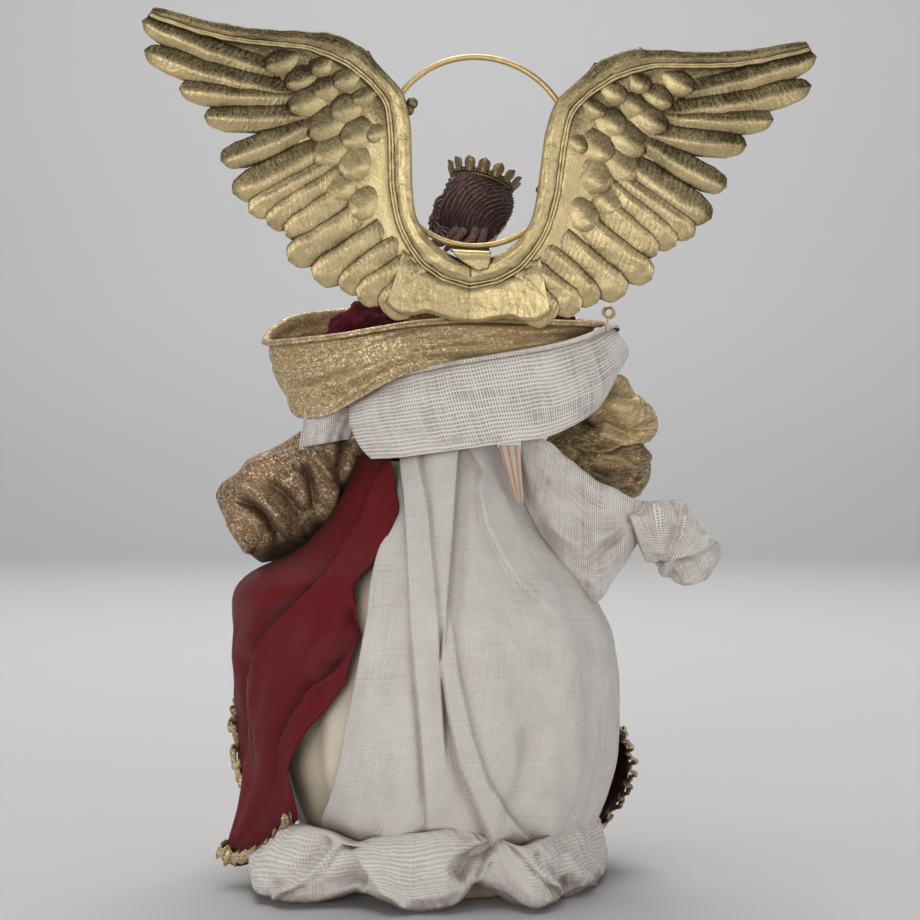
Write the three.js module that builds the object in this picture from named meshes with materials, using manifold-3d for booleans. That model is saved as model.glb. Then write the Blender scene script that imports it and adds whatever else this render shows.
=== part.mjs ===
import * as THREE from 'three';
import { mergeVertices } from 'three/addons/utils/BufferGeometryUtils.js';
import Module from 'manifold-3d';

const wasm = await Module();
wasm.setup();

// Lengths are in millimetres and angles in degrees.
// The figure stands on Z = 0 and faces +Y. An angle round it starts at its back and turns to +X.
const seatGap = 0.4; // between pieces that touch
const clothThickness = 1.2;

// Foot, cone and trunk
const footRadius = 60;
const footThickness = 5;
const coneFootRadius = 54;
const coneWall = 1.6;
const waistHeight = 205;
const torsoShare = 0.3512;
const torsoHeight = waistHeight * torsoShare;
const trunkTop = waistHeight + torsoHeight;
const torsoHalfWidth = 25;
const torsoHalfDepth = 15;
const waistShift = 3; // the waist stands a little to the right of the foot
const shoulderShift = 13; // and the shoulders further

// Arms and hands
const armWireRadius = 2;
const socketDepth = 5; // how deep each wire stands in the trunk's socket
const handLength = 24;
const handHalfWidth = 6;

// Head, hair and crown
const headRise = 53; // of its middle above the trunk
const headHeight = trunkTop + headRise;
const headShift = 18;
const headHalfWidth = 14.5;
const headHalfDepth = 17;
const headHalfHeight = 20;
const headTurn = -52;
const headNod = 8;
const neckRadius = 7;
const skullColumnCount = 18;
const skullRowCount = 16;
const hairDepth = 3.2;
const strandDepth = 0.9;
const curlRadius = 6.5;
const crownRadius = 14.5;
const crownBandHeight = 4;
const crownBandThickness = 1.2;
const crownLeafHeight = 10;
const crownLeafWidth = 6;
const crownLean = 14;
const crownLeafCount = 10;

// Wings: the pair shares one outline, mirrored at the seam
const wingSeatRise = 4.4;
const wingSeat = { shift: 14.3, depth: -44, height: trunkTop + wingSeatRise };
const wingRoll = 3;
const wingSweep = 5;
const wingSpan = 162;
const wingRise = 132;
const seamGap = 0.5;
const blockWidth = 24;
const blockHeight = 9.6;
const blockRise = 4; // of its top above the wings' seat
const webHalfThickness = 1.3;
const featherEdge = 1.2;
const featherRidge = 2.7;
const featherBow = 0.035;
const covertCrown = 4;
const bandCrown = 4.6;
const beadHeight = 4.2;

// Halo, clasp and eyelet
const haloRadius = 45.3;
const haloWireRadius = 1.5;
const haloHeight = 71.6; // of its centre above the seam's origin
const claspWidth = 20;
const claspTipWidth = 6;
const claspThickness = 1.1;
const eyeletRadius = 2.4;
const eyeletWireRadius = 0.7;
const eyeletStem = 7;
const eyeletAngle = 59;

// Skirts
const skirtRadius = 88;
const skirtLift = 1; // the cloth ends this far above the floor
const underskirtInset = 3.3;
const pleatDepth = 4.5;
const redSwing = 110; // reach of the red satin at the left
const redSwingAngle = -95;
const redSwingSpread = 62;
const redFlare = 9; // of its end at the right
const redFlareSpread = 24;
const braidRadius = 1.8;
const braidPointCount = 40;
const flounceInnerRadius = 70;
const flounceHeight = 32;

// Wraps round the shoulders
const shawl = { centre: -3, halfWidth: 79, halfDepth: 34, foldDepth: 1.6, tuck: 0 };
const shawlDrop = 2; // of its edge below the trunk's top, at the middle of the back
const shawlTop = trunkTop - shawlDrop;
const tailCrown = 5;
const sash = { centre: 17, halfWidth: 77, halfDepth: 38.5, foldDepth: 1.2, tuck: 7 };

const materials = {
  card: [0x9a8468, 0.9, 0],
  resin: [0xc79a86, 0.55, 0],
  hair: [0x50302e, 0.6, 0.1],
  castGold: [0x9c8038, 0.38, 0.75],
  goldWire: [0xc49b45, 0.3, 0.9],
  velvet: [0x4c0c16, 0.95, 0],
  goldLame: [0xb4915a, 0.5, 0.4],
  bronzeLame: [0x86603a, 0.5, 0.4],
  gauze: [0xcdc5bc, 0.95, 0],
  muslin: [0xcfc7bd, 0.95, 0],
  creamSatin: [0xb9aa94, 0.45, 0],
  redSatin: [0x6e2024, 0.5, 0],
  braid: [0xb99655, 0.5, 0.5],
  ribbon: [0xb59a80, 0.7, 0],
};

const point = (x, y, z) => new THREE.Vector3(x, y, z);
const radians = THREE.MathUtils.degToRad;
const mix = THREE.MathUtils.lerp;
const bounded = THREE.MathUtils.clamp;

// A place told in shares of the waist's height: to the right, to the front and up
const placeAt = ([across, front, up]) => point(across, front, up).multiplyScalar(waistHeight);

// A place at an angle round the figure, on an ellipse of two half sizes
function around(angle, halfWidth, halfDepth, height, centre = 0) {
  const turn = radians(angle);
  return point(centre + halfWidth * Math.sin(turn), -halfDepth * Math.cos(turn), height);
}

// The value that a table of [place, value] pairs gives at a place
function readTable(table, place) {
  const last = table.length - 1;
  const next = table.findIndex(([to]) => place <= to);
  if (next === 0) return table[0][1];
  if (next < 0) return table[last][1];
  const [from, low] = table[next - 1];
  const [to, high] = table[next];
  return mix(low, high, (place - from) / (to - from));
}

// A bump of height 1 at the middle that ends at the reach on both sides
function bump(distance, reach) {
  const share = bounded(Math.abs(distance) / reach, 0, 1);
  return Math.cos(share * Math.PI / 2) ** 2;
}

// Closed geometry from points and triangles, with its faces turned outwards
function closedGeometry(points, faces) {
  let volume = 0;
  for (const [a, b, c] of faces) volume += points[a].dot(points[b].clone().cross(points[c]));
  const index = faces.flatMap(([a, b, c]) => (volume > 0 ? [a, b, c] : [a, c, b]));
  const places = new Float32Array(points.flatMap((p) => [p.x, p.y, p.z]));
  const geometry = new THREE.BufferGeometry();
  geometry.setAttribute('position', new THREE.BufferAttribute(places, 3));
  geometry.setIndex(index);
  return geometry;
}

// A skin over rings of points, closed at both ends
function loft(rings, start = null, end = null) {
  const count = rings[0].length;
  const middle = (ring) => ring.reduce((sum, p) => sum.add(p), point(0, 0, 0)).divideScalar(count);
  const points = [...rings.flat(), start ?? middle(rings[0]), end ?? middle(rings.at(-1))];
  const first = rings.length * count;
  const lastRing = (rings.length - 1) * count;
  const faces = [];
  for (let i = 0; i < count; i += 1) {
    const n = (i + 1) % count;
    faces.push([first, n, i], [first + 1, lastRing + i, lastRing + n]);
    for (let ring = 0; ring < rings.length - 1; ring += 1) {
      const low = ring * count;
      faces.push([low + i, low + n, low + count + n], [low + i, low + count + n, low + count + i]);
    }
  }
  return closedGeometry(points, faces);
}

// A ball whose surface point is worked out from its direction
function ball(columns, rows, place) {
  const direction = (column, row) => {
    const down = Math.PI * row / rows;
    const turn = 2 * Math.PI * column / columns;
    return point(Math.sin(down) * Math.cos(turn), Math.sin(down) * Math.sin(turn), Math.cos(down));
  };
  const rings = [];
  for (let row = 1; row < rows; row += 1) {
    rings.push(Array.from({ length: columns }, (unused, column) => place(direction(column, row))));
  }
  return loft(rings, place(point(0, 0, 1)), place(point(0, 0, -1)));
}

// A sheet of cloth: a grid of places thickened to both sides, closed round where it is a loop
function sheet(place, columns, rows, thickness = clothThickness, loop = false) {
  const lines = loop ? columns : columns + 1;
  const cell = (i, j) => {
    const line = loop ? (i + lines) % lines : bounded(i, 0, columns);
    return line * (rows + 1) + bounded(j, 0, rows);
  };
  const middle = [];
  for (let i = 0; i < lines; i += 1) {
    for (let j = 0; j <= rows; j += 1) middle.push(place(i / columns, j / rows));
  }
  const outer = [];
  const inner = [];
  for (let i = 0; i < lines; i += 1) {
    for (let j = 0; j <= rows; j += 1) {
      const across = middle[cell(i + 1, j)].clone().sub(middle[cell(i - 1, j)]);
      const along = middle[cell(i, j + 1)].clone().sub(middle[cell(i, j - 1)]);
      const offset = across.cross(along).setLength(thickness / 2);
      outer.push(middle[cell(i, j)].clone().add(offset));
      inner.push(middle[cell(i, j)].clone().sub(offset));
    }
  }
  const under = middle.length;
  const faces = [];
  const quad = (a, b, c, d) => faces.push([a, b, c], [a, c, d]);
  for (let i = 0; i < columns; i += 1) {
    for (let j = 0; j < rows; j += 1) {
      quad(cell(i, j), cell(i + 1, j), cell(i + 1, j + 1), cell(i, j + 1));
      quad(under + cell(i, j), under + cell(i, j + 1), under + cell(i + 1, j + 1), under + cell(i + 1, j));
    }
    quad(cell(i + 1, 0), cell(i, 0), under + cell(i, 0), under + cell(i + 1, 0));
    quad(cell(i, rows), cell(i + 1, rows), under + cell(i + 1, rows), under + cell(i, rows));
  }
  for (let j = 0; j < rows && !loop; j += 1) {
    quad(cell(0, j), cell(0, j + 1), under + cell(0, j + 1), under + cell(0, j));
    quad(cell(columns, j + 1), cell(columns, j), under + cell(columns, j), under + cell(columns, j + 1));
  }
  return closedGeometry([...outer, ...inner], faces);
}

// A round wire along a smooth path
function wire(places, radius, sides, steps) {
  const corners = Array.from({ length: sides }, (unused, i) => {
    const turn = 2 * Math.PI * i / sides;
    return new THREE.Vector2(radius * Math.cos(turn), radius * Math.sin(turn));
  });
  const extrudePath = new THREE.CatmullRomCurve3(places);
  return new THREE.ExtrudeGeometry(new THREE.Shape(corners), { steps, extrudePath, bevelEnabled: false });
}

// Rings of points round a path, for sleeves and hands: half sizes are shares of the form's girth
function ringsAlong(places, form, sides, steps, waves = () => 0, grow = 0) {
  const path = new THREE.CatmullRomCurve3(places);
  return Array.from({ length: steps + 1 }, (unused, step) => {
    const share = step / steps;
    const centre = path.getPoint(share);
    const tangent = path.getTangent(share);
    const side = point(0, 1, 0).cross(tangent).normalize();
    const depth = tangent.clone().cross(side).normalize();
    const halfWidth = form.girth * readTable(form.widthShares, share) + grow;
    const halfDepth = form.girth * readTable(form.depthShares, share) + grow;
    return Array.from({ length: sides }, (alsoUnused, i) => {
      const turn = 2 * Math.PI * i / sides;
      const swell = 1 + waves(turn, share);
      return centre.clone()
        .addScaledVector(side, halfWidth * swell * Math.cos(turn))
        .addScaledVector(depth, halfDepth * swell * Math.sin(turn));
    });
  });
}

// An open sleeve: the same rings as a thin loop of cloth
function sleeve(places, form, sides, steps, waves) {
  const rings = ringsAlong(places, form, sides, steps, waves);
  return sheet((u, v) => rings[Math.round(v * steps)][Math.round(u * sides) % sides],
    sides, steps, clothThickness, true);
}

function solidOf(geometry) {
  const bare = geometry.clone();
  bare.deleteAttribute('normal');
  bare.deleteAttribute('uv');
  const merged = mergeVertices(bare);
  return new wasm.Manifold(new wasm.Mesh({
    numProp: 3,
    vertProperties: merged.attributes.position.array,
    triVerts: new Uint32Array(merged.index.array),
  }));
}

function geometryOf(solid) {
  const mesh = solid.getMesh();
  const geometry = new THREE.BufferGeometry();
  geometry.setAttribute('position', new THREE.BufferAttribute(mesh.vertProperties, 3));
  geometry.setIndex(new THREE.BufferAttribute(mesh.triVerts, 1));
  return geometry;
}

const largestOf = (solid) => solid.decompose().sort((a, b) => b.volume() - a.volume())[0];
const joined = (geometries) => geometries.map(solidOf).reduce((whole, one) => whole.add(one));

const figure = new THREE.Group();

function add(name, geometry, finish, parent = figure) {
  const [color, roughness, metalness] = materials[finish];
  const mesh = new THREE.Mesh(geometry, new THREE.MeshStandardMaterial({ color, roughness, metalness }));
  mesh.name = name;
  parent.add(mesh);
}

// Skirt radii as shares of the skirt's radius at shares of the waist's height
const bellShares = [
  [0, 0.8], [0.12, 0.86], [0.18, 0.93], [0.3, 1], [0.48, 1], [0.58, 0.965], [0.64, 0.89], [0.68, 0.82],
  [0.74, 0.73], [0.84, 0.54], [0.96, 0.385], [1, 0.33],
];

// Foot and cone
const coneFoot = footThickness + seatGap;
const coneTop = waistHeight - seatGap;
const coneTopRadius = skirtRadius * bellShares.at(-1)[1] - underskirtInset - clothThickness / 2 - seatGap;

function turned(profile, segments) {
  const geometry = new THREE.LatheGeometry(profile.map(([r, z]) => new THREE.Vector2(r, z)), segments);
  return geometry.rotateX(Math.PI / 2);
}

function makeFoot() {
  const disc = turned([[0, 0], [footRadius, 0], [footRadius, footThickness], [0, footThickness]], 32);
  add('base_disc', disc, 'card');
}

function makeCone() {
  const wall = [
    [coneFootRadius, coneFoot],
    [coneTopRadius, coneTop],
    [0, coneTop],
  ];
  const inside = [
    [0, coneTop - coneWall],
    [coneTopRadius - coneWall, coneTop - coneWall],
    [coneFootRadius - coneWall, coneFoot],
  ];
  const lean = new THREE.Matrix4().makeShear(0, 0, 0, 0, waistShift / waistHeight, 0);
  add('body_cone', turned([...inside, ...wall], 24).applyMatrix4(lean), 'card');
}

// Trunk, arms and hands
const torsoShares = [[0, 0.92], [0.25, 0.86], [0.55, 0.95], [0.75, 1], [0.9, 0.88], [1, 0.45]];
const bodiceShares = [0.05, 0.25, 0.55, 0.75, 0.9];
const bodiceSideCount = 16;

function trunkCentre(height) {
  return mix(waistShift, shoulderShift, bounded((height - waistHeight) / torsoHeight, 0, 1));
}

function trunkRings(grow, shares, sides) {
  return shares.map((share) => {
    const height = waistHeight + share * torsoHeight;
    const girth = readTable(torsoShares, share);
    return Array.from({ length: sides }, (alsoUnused, i) => around(360 * i / sides,
      torsoHalfWidth * girth + grow, torsoHalfDepth * girth + grow, height, trunkCentre(height)));
  });
}

const shoulderHeight = waistHeight + torsoHeight * 0.86;
// Joints of the arms in shares of the waist's height
const elbowShares = { left: [-0.215, 0.005, 1.083], right: [0.429, 0.015, 1.161] };
const wristShares = { left: [-0.439, 0.088, 0.839], right: [0.449, 0.088, 0.937] };
const fingerShares = { left: [-0.502, 0.156, 0.761], right: [0.463, 0.137, 0.829] };
const arms = Object.fromEntries([['left', -1], ['right', 1]].map(([side, out]) => [side, {
  shoulder: point(shoulderShift + out * (torsoHalfWidth - socketDepth), 0, shoulderHeight),
  elbow: placeAt(elbowShares[side]),
  wrist: placeAt(wristShares[side]),
  fingers: placeAt(fingerShares[side]),
}]));

// The wire of an arm, or with a gap the room that it needs in its sockets
function armWire({ shoulder, elbow, wrist }, gap = 0) {
  const upper = shoulder.clone().lerp(elbow, 0.5);
  const lower = elbow.clone().lerp(wrist, 0.6);
  const beyond = (end, before) => end.clone().add(end.clone().sub(before).setLength(gap));
  const path = [beyond(shoulder, upper), upper, elbow, lower, beyond(wrist, lower)];
  return wire(path, armWireRadius + gap, 8, 14);
}

const palmForm = {
  girth: handHalfWidth,
  widthShares: [[0, 0.65], [0.4, 1], [0.7, 0.85], [1, 0.4]],
  depthShares: [[0, 0.65], [0.5, 0.5], [1, 0.225]],
};
const thumbForm = {
  girth: handHalfWidth,
  widthShares: [[0, 0.4], [1, 0.225]],
  depthShares: [[0, 0.4], [1, 0.225]],
};

function hand(arm) {
  const { wrist, fingers } = arm;
  const along = fingers.clone().sub(wrist).normalize();
  const start = wrist.clone().addScaledVector(along, -armWireRadius);
  const reach = (share) => start.clone().addScaledVector(along, handLength * share);
  const palm = loft(ringsAlong([start, reach(0.5), reach(1)], palmForm, 8, 5));
  const side = point(0, 1, 0).cross(along).normalize();
  const thumbPath = [
    reach(0.18),
    reach(0.4).addScaledVector(side, handHalfWidth * 0.8),
    reach(0.62).addScaledVector(side, handHalfWidth * 1.35),
  ];
  const thumb = loft(ringsAlong(thumbPath, thumbForm, 6, 3));
  return geometryOf(joined([palm, thumb]).subtract(solidOf(armWire(arm, seatGap))));
}

function makeTrunk() {
  const trunk = solidOf(loft(trunkRings(0, [0, 0.25, 0.55, 0.75, 0.9, 1], 16)));
  const sockets = Object.values(arms).map((arm) => solidOf(armWire(arm, seatGap)));
  const neck = solidOf(neckGeometry(seatGap));
  const core = [neck, ...sockets].reduce((left, one) => left.subtract(one), trunk);
  add('torso_core', geometryOf(core), 'card');
  for (const side of ['left', 'right']) {
    add(`${side}_arm`, armWire(arms[side]), 'goldWire');
    add(`${side}_hand`, hand(arms[side]), 'resin');
  }
}

// Head, turned to the right and away, with hair and crown
const neckDepthInTrunk = 8;
const neckBase = waistHeight + torsoHeight - neckDepthInTrunk;
const headMatrix = new THREE.Matrix4().makeTranslation(headShift, 0, headHeight)
  .multiply(new THREE.Matrix4().makeRotationZ(radians(headTurn)))
  .multiply(new THREE.Matrix4().makeRotationX(radians(-headNod)));

function neckGeometry(gap = 0) {
  const radius = neckRadius + gap;
  const from = point(shoulderShift, 0, neckBase - gap);
  const to = point(headShift, 0, headHeight);
  const rings = [0, 0.5, 1].map((share) => {
    const centre = from.clone().lerp(to, share);
    return Array.from({ length: 12 }, (unused, i) => around(30 * i, radius, radius, centre.z, centre.x));
  });
  return loft(rings);
}

const near = (direction, x, y, z, reach) => bump(direction.distanceTo(point(x, y, z).normalize()), reach);

// Face marks as [x, y, z direction, reach, height as a share of the head's half depth]
const faceShares = [
  [0, 1, -0.12, 0.3, 0.13],
  [0, 0.95, 0.2, 0.3, 0.03],
  [0.36, 0.9, 0.08, 0.24, -0.06],
  [-0.36, 0.9, 0.08, 0.24, -0.06],
  [0, 0.9, -0.45, 0.22, 0.05],
  [0, 0.75, -0.8, 0.35, 0.07],
  [0.75, 0.6, -0.35, 0.5, 0.02],
  [-0.75, 0.6, -0.35, 0.5, 0.02],
];

function headPlace(direction, grow) {
  let swell = 1;
  for (const [x, y, z, reach, height] of faceShares) swell += height * near(direction, x, y, z, reach);
  const jaw = direction.z < 0 ? 1 - 0.24 * direction.z ** 2 * (1 - 0.4 * direction.y) : 1;
  const narrow = direction.z < 0 ? 1 + 0.3 * direction.z * Math.abs(direction.z) : 1;
  return point(
    direction.x * (headHalfWidth * swell * narrow + grow),
    direction.y * (headHalfDepth * swell * jaw + grow),
    direction.z * (headHalfHeight * swell + grow),
  );
}

function hairPlace(direction) {
  const combed = Math.sin(9 * Math.atan2(direction.x, direction.z) + 5 * direction.y);
  const reach = hairDepth + strandDepth * combed + hairDepth * 0.5 * bump(direction.z + 0.2, 0.8);
  return point(
    direction.x * (headHalfWidth + reach),
    direction.y * (headHalfDepth + reach),
    direction.z * (headHalfHeight + reach * 0.6),
  );
}

function crownBand(grow) {
  const inner = crownRadius - grow;
  const outer = crownRadius + crownBandThickness + grow;
  const top = crownBandHeight + grow;
  return turned([[outer, -grow], [outer, top], [inner, top], [inner, -grow], [outer, -grow]], 20);
}

function crownGeometry() {
  const outer = crownRadius + crownBandThickness;
  const leaves = Array.from({ length: crownLeafCount }, (unused, leaf) => {
    const widths = [[0, 0.5], [0.4, 0.45], [0.68, 1], [1, 0.25]];
    const rings = widths.map(([share, width]) => {
      const out = outer - crownBandThickness / 2 + crownLeafHeight * share * Math.sin(radians(crownLean));
      const half = crownLeafWidth / 2 * width;
      const thick = crownBandThickness * (0.5 + 0.4 * width);
      const up = crownBandHeight * 0.4 + crownLeafHeight * share;
      return [[half, -thick / 2], [0, -thick], [-half, -thick / 2], [0, thick / 2]]
        .map(([across, depth]) => point(across, out - depth, up));
    });
    return loft(rings).rotateZ(2 * Math.PI * leaf / crownLeafCount);
  });
  return joined([crownBand(0), ...leaves]);
}

function makeHead() {
  const skull = ball(skullColumnCount, skullRowCount, (direction) => headPlace(direction, 0))
    .applyMatrix4(headMatrix);
  const head = solidOf(skull).add(solidOf(neckGeometry()));
  add('head', geometryOf(head), 'resin');

  const room = ball(12, 10, (direction) => headPlace(direction, seatGap * 3)).applyMatrix4(headMatrix);
  const cap = ball(16, 9, hairPlace).applyMatrix4(headMatrix);
  const faceSide = new THREE.BoxGeometry(headHalfWidth * 3, headHalfDepth * 2, headHalfHeight * 2.4)
    .rotateX(radians(24))
    .translate(0, headHalfDepth * 1.22, -headHalfHeight * 0.72)
    .applyMatrix4(headMatrix);
  const curl = ball(8, 6, (direction) => direction.multiplyScalar(curlRadius))
    .translate(-headHalfWidth * 0.55, -headHalfDepth * 0.8, -headHalfHeight * 0.45)
    .applyMatrix4(headMatrix);
  const crownMatrix = headMatrix.clone()
    .multiply(new THREE.Matrix4().makeTranslation(0, headHalfDepth * 0.08, headHalfHeight * 0.62))
    .multiply(new THREE.Matrix4().makeRotationX(radians(-10)));
  const bandRoom = crownBand(seatGap * 2).applyMatrix4(crownMatrix);
  const throat = solidOf(neckGeometry(seatGap));
  const hair = solidOf(cap).add(solidOf(curl)).subtract(solidOf(room)).subtract(throat)
    .subtract(solidOf(faceSide)).subtract(solidOf(bandRoom));
  add('hair', geometryOf(largestOf(hair)), 'hair');
  add('crown', geometryOf(crownGeometry()).applyMatrix4(crownMatrix), 'castGold');
}

// Wings. Outlines are [across, up] shares of the span and the rise, from the seam
const leadShares = [
  [0.95, 0.99], [0.85, 0.955], [0.75, 0.925], [0.64, 0.917], [0.53, 0.917], [0.43, 0.917], [0.345, 0.87],
  [0.285, 0.8], [0.23, 0.735], [0.2, 0.63], [0.19, 0.51], [0.182, 0.38], [0.165, 0.28], [0.125, 0.21],
  [0.06, 0.155], [-0.02, 0.137],
];
const beadShares = [
  [0.97, 0.955], [0.85, 0.9], [0.735, 0.867], [0.62, 0.86], [0.525, 0.856], [0.44, 0.83], [0.37, 0.79],
  [0.315, 0.735], [0.275, 0.675], [0.26, 0.575], [0.253, 0.47], [0.244, 0.364], [0.216, 0.242], [0.16, 0.13],
  [0.08, 0.064], [-0.02, 0.038],
];
const rootShares = [
  [0.93, 0.92], [0.83, 0.85], [0.73, 0.8], [0.66, 0.76], [0.62, 0.7], [0.6, 0.635], [0.575, 0.575],
  [0.54, 0.5], [0.5, 0.42], [0.47, 0.35], [0.43, 0.29], [0.4, 0.2], [0.36, 0.13], [0.27, 0.06],
  [0.12, 0], [-0.02, -0.07],
];
// Long feathers as [root across, root up, tip across, tip up, width], widths as shares of the span
const featherShares = [
  [0.65, 0.83, 0.994, 0.94, 0.072],
  [0.6, 0.735, 0.975, 0.82, 0.07],
  [0.58, 0.67, 0.87, 0.682, 0.064],
  [0.56, 0.6, 0.796, 0.59, 0.06],
  [0.535, 0.565, 0.747, 0.44, 0.06],
  [0.49, 0.49, 0.704, 0.325, 0.064],
  [0.457, 0.428, 0.633, 0.28, 0.056],
  [0.423, 0.411, 0.586, 0.235, 0.056],
  [0.392, 0.348, 0.537, 0.19, 0.074],
  [0.375, 0.216, 0.534, 0.098, 0.082],
  [0.32, 0.15, 0.457, 0.038, 0.08],
  [0.26, 0.155, 0.377, 0.008, 0.078],
  [0.206, 0.086, 0.327, -0.023, 0.08],
  [0.148, 0.064, 0.253, -0.06, 0.092],
  [0.08, 0.06, 0.155, -0.09, 0.1],
  [0.03, 0.06, 0.05, -0.09, 0.1],
];
// Short covering feathers in the same way
const covertShares = [
  [0.5, 0.84, 0.67, 0.77, 0.06], [0.41, 0.84, 0.52, 0.78, 0.06], [0.36, 0.8, 0.52, 0.69, 0.095],
  [0.28, 0.74, 0.4, 0.665, 0.075], [0.43, 0.71, 0.58, 0.63, 0.08], [0.32, 0.69, 0.46, 0.62, 0.08],
  [0.26, 0.66, 0.365, 0.58, 0.08], [0.37, 0.62, 0.53, 0.545, 0.08], [0.29, 0.6, 0.42, 0.515, 0.075],
  [0.36, 0.54, 0.49, 0.44, 0.08], [0.27, 0.5, 0.41, 0.385, 0.08], [0.27, 0.39, 0.4, 0.29, 0.075],
  [0.22, 0.32, 0.31, 0.18, 0.065], [0.3, 0.26, 0.39, 0.16, 0.065], [0.18, 0.2, 0.27, 0.09, 0.07],
];
const longOutlineShares = [[0, 0.8], [0.52, 1.05], [0.9, 0.72]];
const roundOutlineShares = [[0, 0.85], [0.74, 1]];

// One feather: a lens with a ridge on both faces, lofted from its root to its round tip
function feather([rootAcross, rootUp, tipAcross, tipUp, width], outline, edge, ridge, side) {
  const root = new THREE.Vector2(rootAcross * wingSpan, rootUp * wingRise);
  const along = new THREE.Vector2(tipAcross * wingSpan, tipUp * wingRise).sub(root);
  const across = new THREE.Vector2(-along.y, along.x).normalize();
  const bowed = (share) => root.clone().addScaledVector(along, share)
    .addScaledVector(across, -featherBow * 4 * share * (1 - share) * along.length());
  const tip = bowed(1);
  const rings = outline.map(([share, wide]) => {
    const half = width * wingSpan / 2 * wide;
    const centre = bowed(share);
    const face = [[half, -edge], [0, -ridge * wide], [-half, -edge]];
    const section = edge > 0 ? [...face, [-half, edge], [0, ridge * wide], [half, edge]]
      : [...face, [0, ridge * wide]];
    return section.map(([aside, depth]) => {
      const place = centre.clone().addScaledVector(across, aside);
      return point(side * place.x, depth, place.y);
    });
  });
  return loft(rings, null, point(side * tip.x, 0, tip.y));
}

// A strip between two outlines with a section of [share across, half thickness] pairs
function strip(fromShares, toShares, section, stations, side) {
  const curve = (shares) => new THREE.SplineCurve(
    shares.map(([across, up]) => new THREE.Vector2(across * wingSpan, up * wingRise)));
  const from = curve(fromShares);
  const to = curve(toShares);
  const outline = [...section, ...section.map(([share, half]) => [share, -half]).reverse()];
  const rings = Array.from({ length: stations + 1 }, (unused, station) => {
    const a = from.getPoint(station / stations);
    const b = to.getPoint(station / stations);
    return outline.map(([share, half]) => point(side * mix(a.x, b.x, share), -half, mix(a.y, b.y, share)));
  });
  return loft(rings);
}

function wingGeometry(side) {
  const band = strip(leadShares, beadShares, [
    [0, featherRidge], [0.3, bandCrown], [0.8, featherRidge], [0.92, beadHeight],
  ], 14, side);
  const web = strip(beadShares, rootShares, [[-0.1, webHalfThickness], [1, webHalfThickness]], 9, side);
  const long = featherShares.map((row) => feather(row, longOutlineShares, featherEdge, featherRidge, side));
  const short = covertShares.map((row) => feather(row, roundOutlineShares, 0, covertCrown, side));
  const turn = -side * radians(wingSweep);
  const whole = joined([band, web, ...long, ...short].map((piece) => piece.rotateZ(turn)));
  const beyond = new THREE.BoxGeometry(wingSpan, wingSpan, wingRise * 3)
    .translate(-side * (wingSpan - seamGap) / 2, 0, 0);
  return geometryOf(whole.subtract(solidOf(beyond)));
}

const backSet = new THREE.Group();
backSet.position.set(wingSeat.shift, wingSeat.depth, wingSeat.height);
backSet.rotation.y = radians(wingRoll);
figure.add(backSet);

const haloDepth = bandCrown + seatGap + haloWireRadius;
const haloFoot = haloHeight - haloRadius;

function makeBackSet() {
  add('left_wing', wingGeometry(-1), 'castGold', backSet);
  add('right_wing', wingGeometry(1), 'castGold', backSet);
  const ring = new THREE.TorusGeometry(haloRadius, haloWireRadius, 6, 40).rotateX(Math.PI / 2)
    .translate(0, haloDepth, haloHeight);
  add('halo_ring', ring, 'goldWire', backSet);

  // The clasp goes behind the ring, over it and down the collar to its leaf tip
  const ringRoom = haloWireRadius + seatGap * 2 + claspThickness / 2;
  const collarFace = -(bandCrown + seatGap + claspThickness);
  const route = new THREE.CatmullRomCurve3([
    point(0, haloDepth + ringRoom, haloFoot - ringRoom),
    point(0, haloDepth + ringRoom, haloFoot + ringRoom * 0.6),
    point(0, haloDepth, haloFoot + ringRoom * 1.3),
    point(0, haloDepth - ringRoom * 1.4, haloFoot + ringRoom * 0.5),
    point(0, collarFace, haloFoot - ringRoom * 2),
    point(0, collarFace, haloFoot - ringRoom * 3.4),
    point(0, collarFace, haloFoot - ringRoom * 4.6),
  ]);
  const leaf = sheet((u, v) => {
    const middle = route.getPoint(v);
    const half = mix(claspWidth, claspTipWidth, bounded((v - 0.55) / 0.45, 0, 1)) / 2;
    return point((u * 2 - 1) * half, middle.y, middle.z);
  }, 3, 12, claspThickness);
  add('halo_clasp', leaf, 'goldWire', backSet);
}

// The block that carries the wings: from the trunk's back to the collar
function makeWingBlock() {
  const front = -torsoHalfDepth * 0.5;
  const back = wingSeat.depth + featherRidge + seatGap;
  const shoulder = shawlTop + seatGap * 2;
  const top = wingSeat.height + blockRise;
  const head = new THREE.BoxGeometry(blockWidth, front - back, top - shoulder)
    .translate(wingSeat.shift, (front + back) / 2, (shoulder + top) / 2);
  const footBack = -shawl.halfDepth + shawl.foldDepth * 2 + clothThickness + seatGap;
  const footHeight = blockHeight * 2;
  const foot = new THREE.BoxGeometry(blockWidth, front - footBack, footHeight)
    .translate(wingSeat.shift, (front + footBack) / 2, top - footHeight / 2);
  const trunk = solidOf(loft(trunkRings(clothThickness * 3, [0, 0.25, 0.55, 0.75, 0.9, 1], 16)));
  const neck = solidOf(neckGeometry(seatGap));
  add('wing_block', geometryOf(joined([head, foot]).subtract(trunk).subtract(neck)), 'card');
}

const redLeftShares = [
  [0, 1], [0.05, 1], [0.2, 0.945], [0.36, 0.92], [0.47, 0.935], [0.62, 0.965], [0.67, 0.965], [0.71, 0.9],
  [0.735, 0.75], [0.75, 0.62], [0.83, 0.47], [0.9, 0.4], [1, 0.28],
];
const tuckShares = [[0, 0.98], [0.12, 0.94], [0.2, 0.97], [0.3, 1]];
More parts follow.
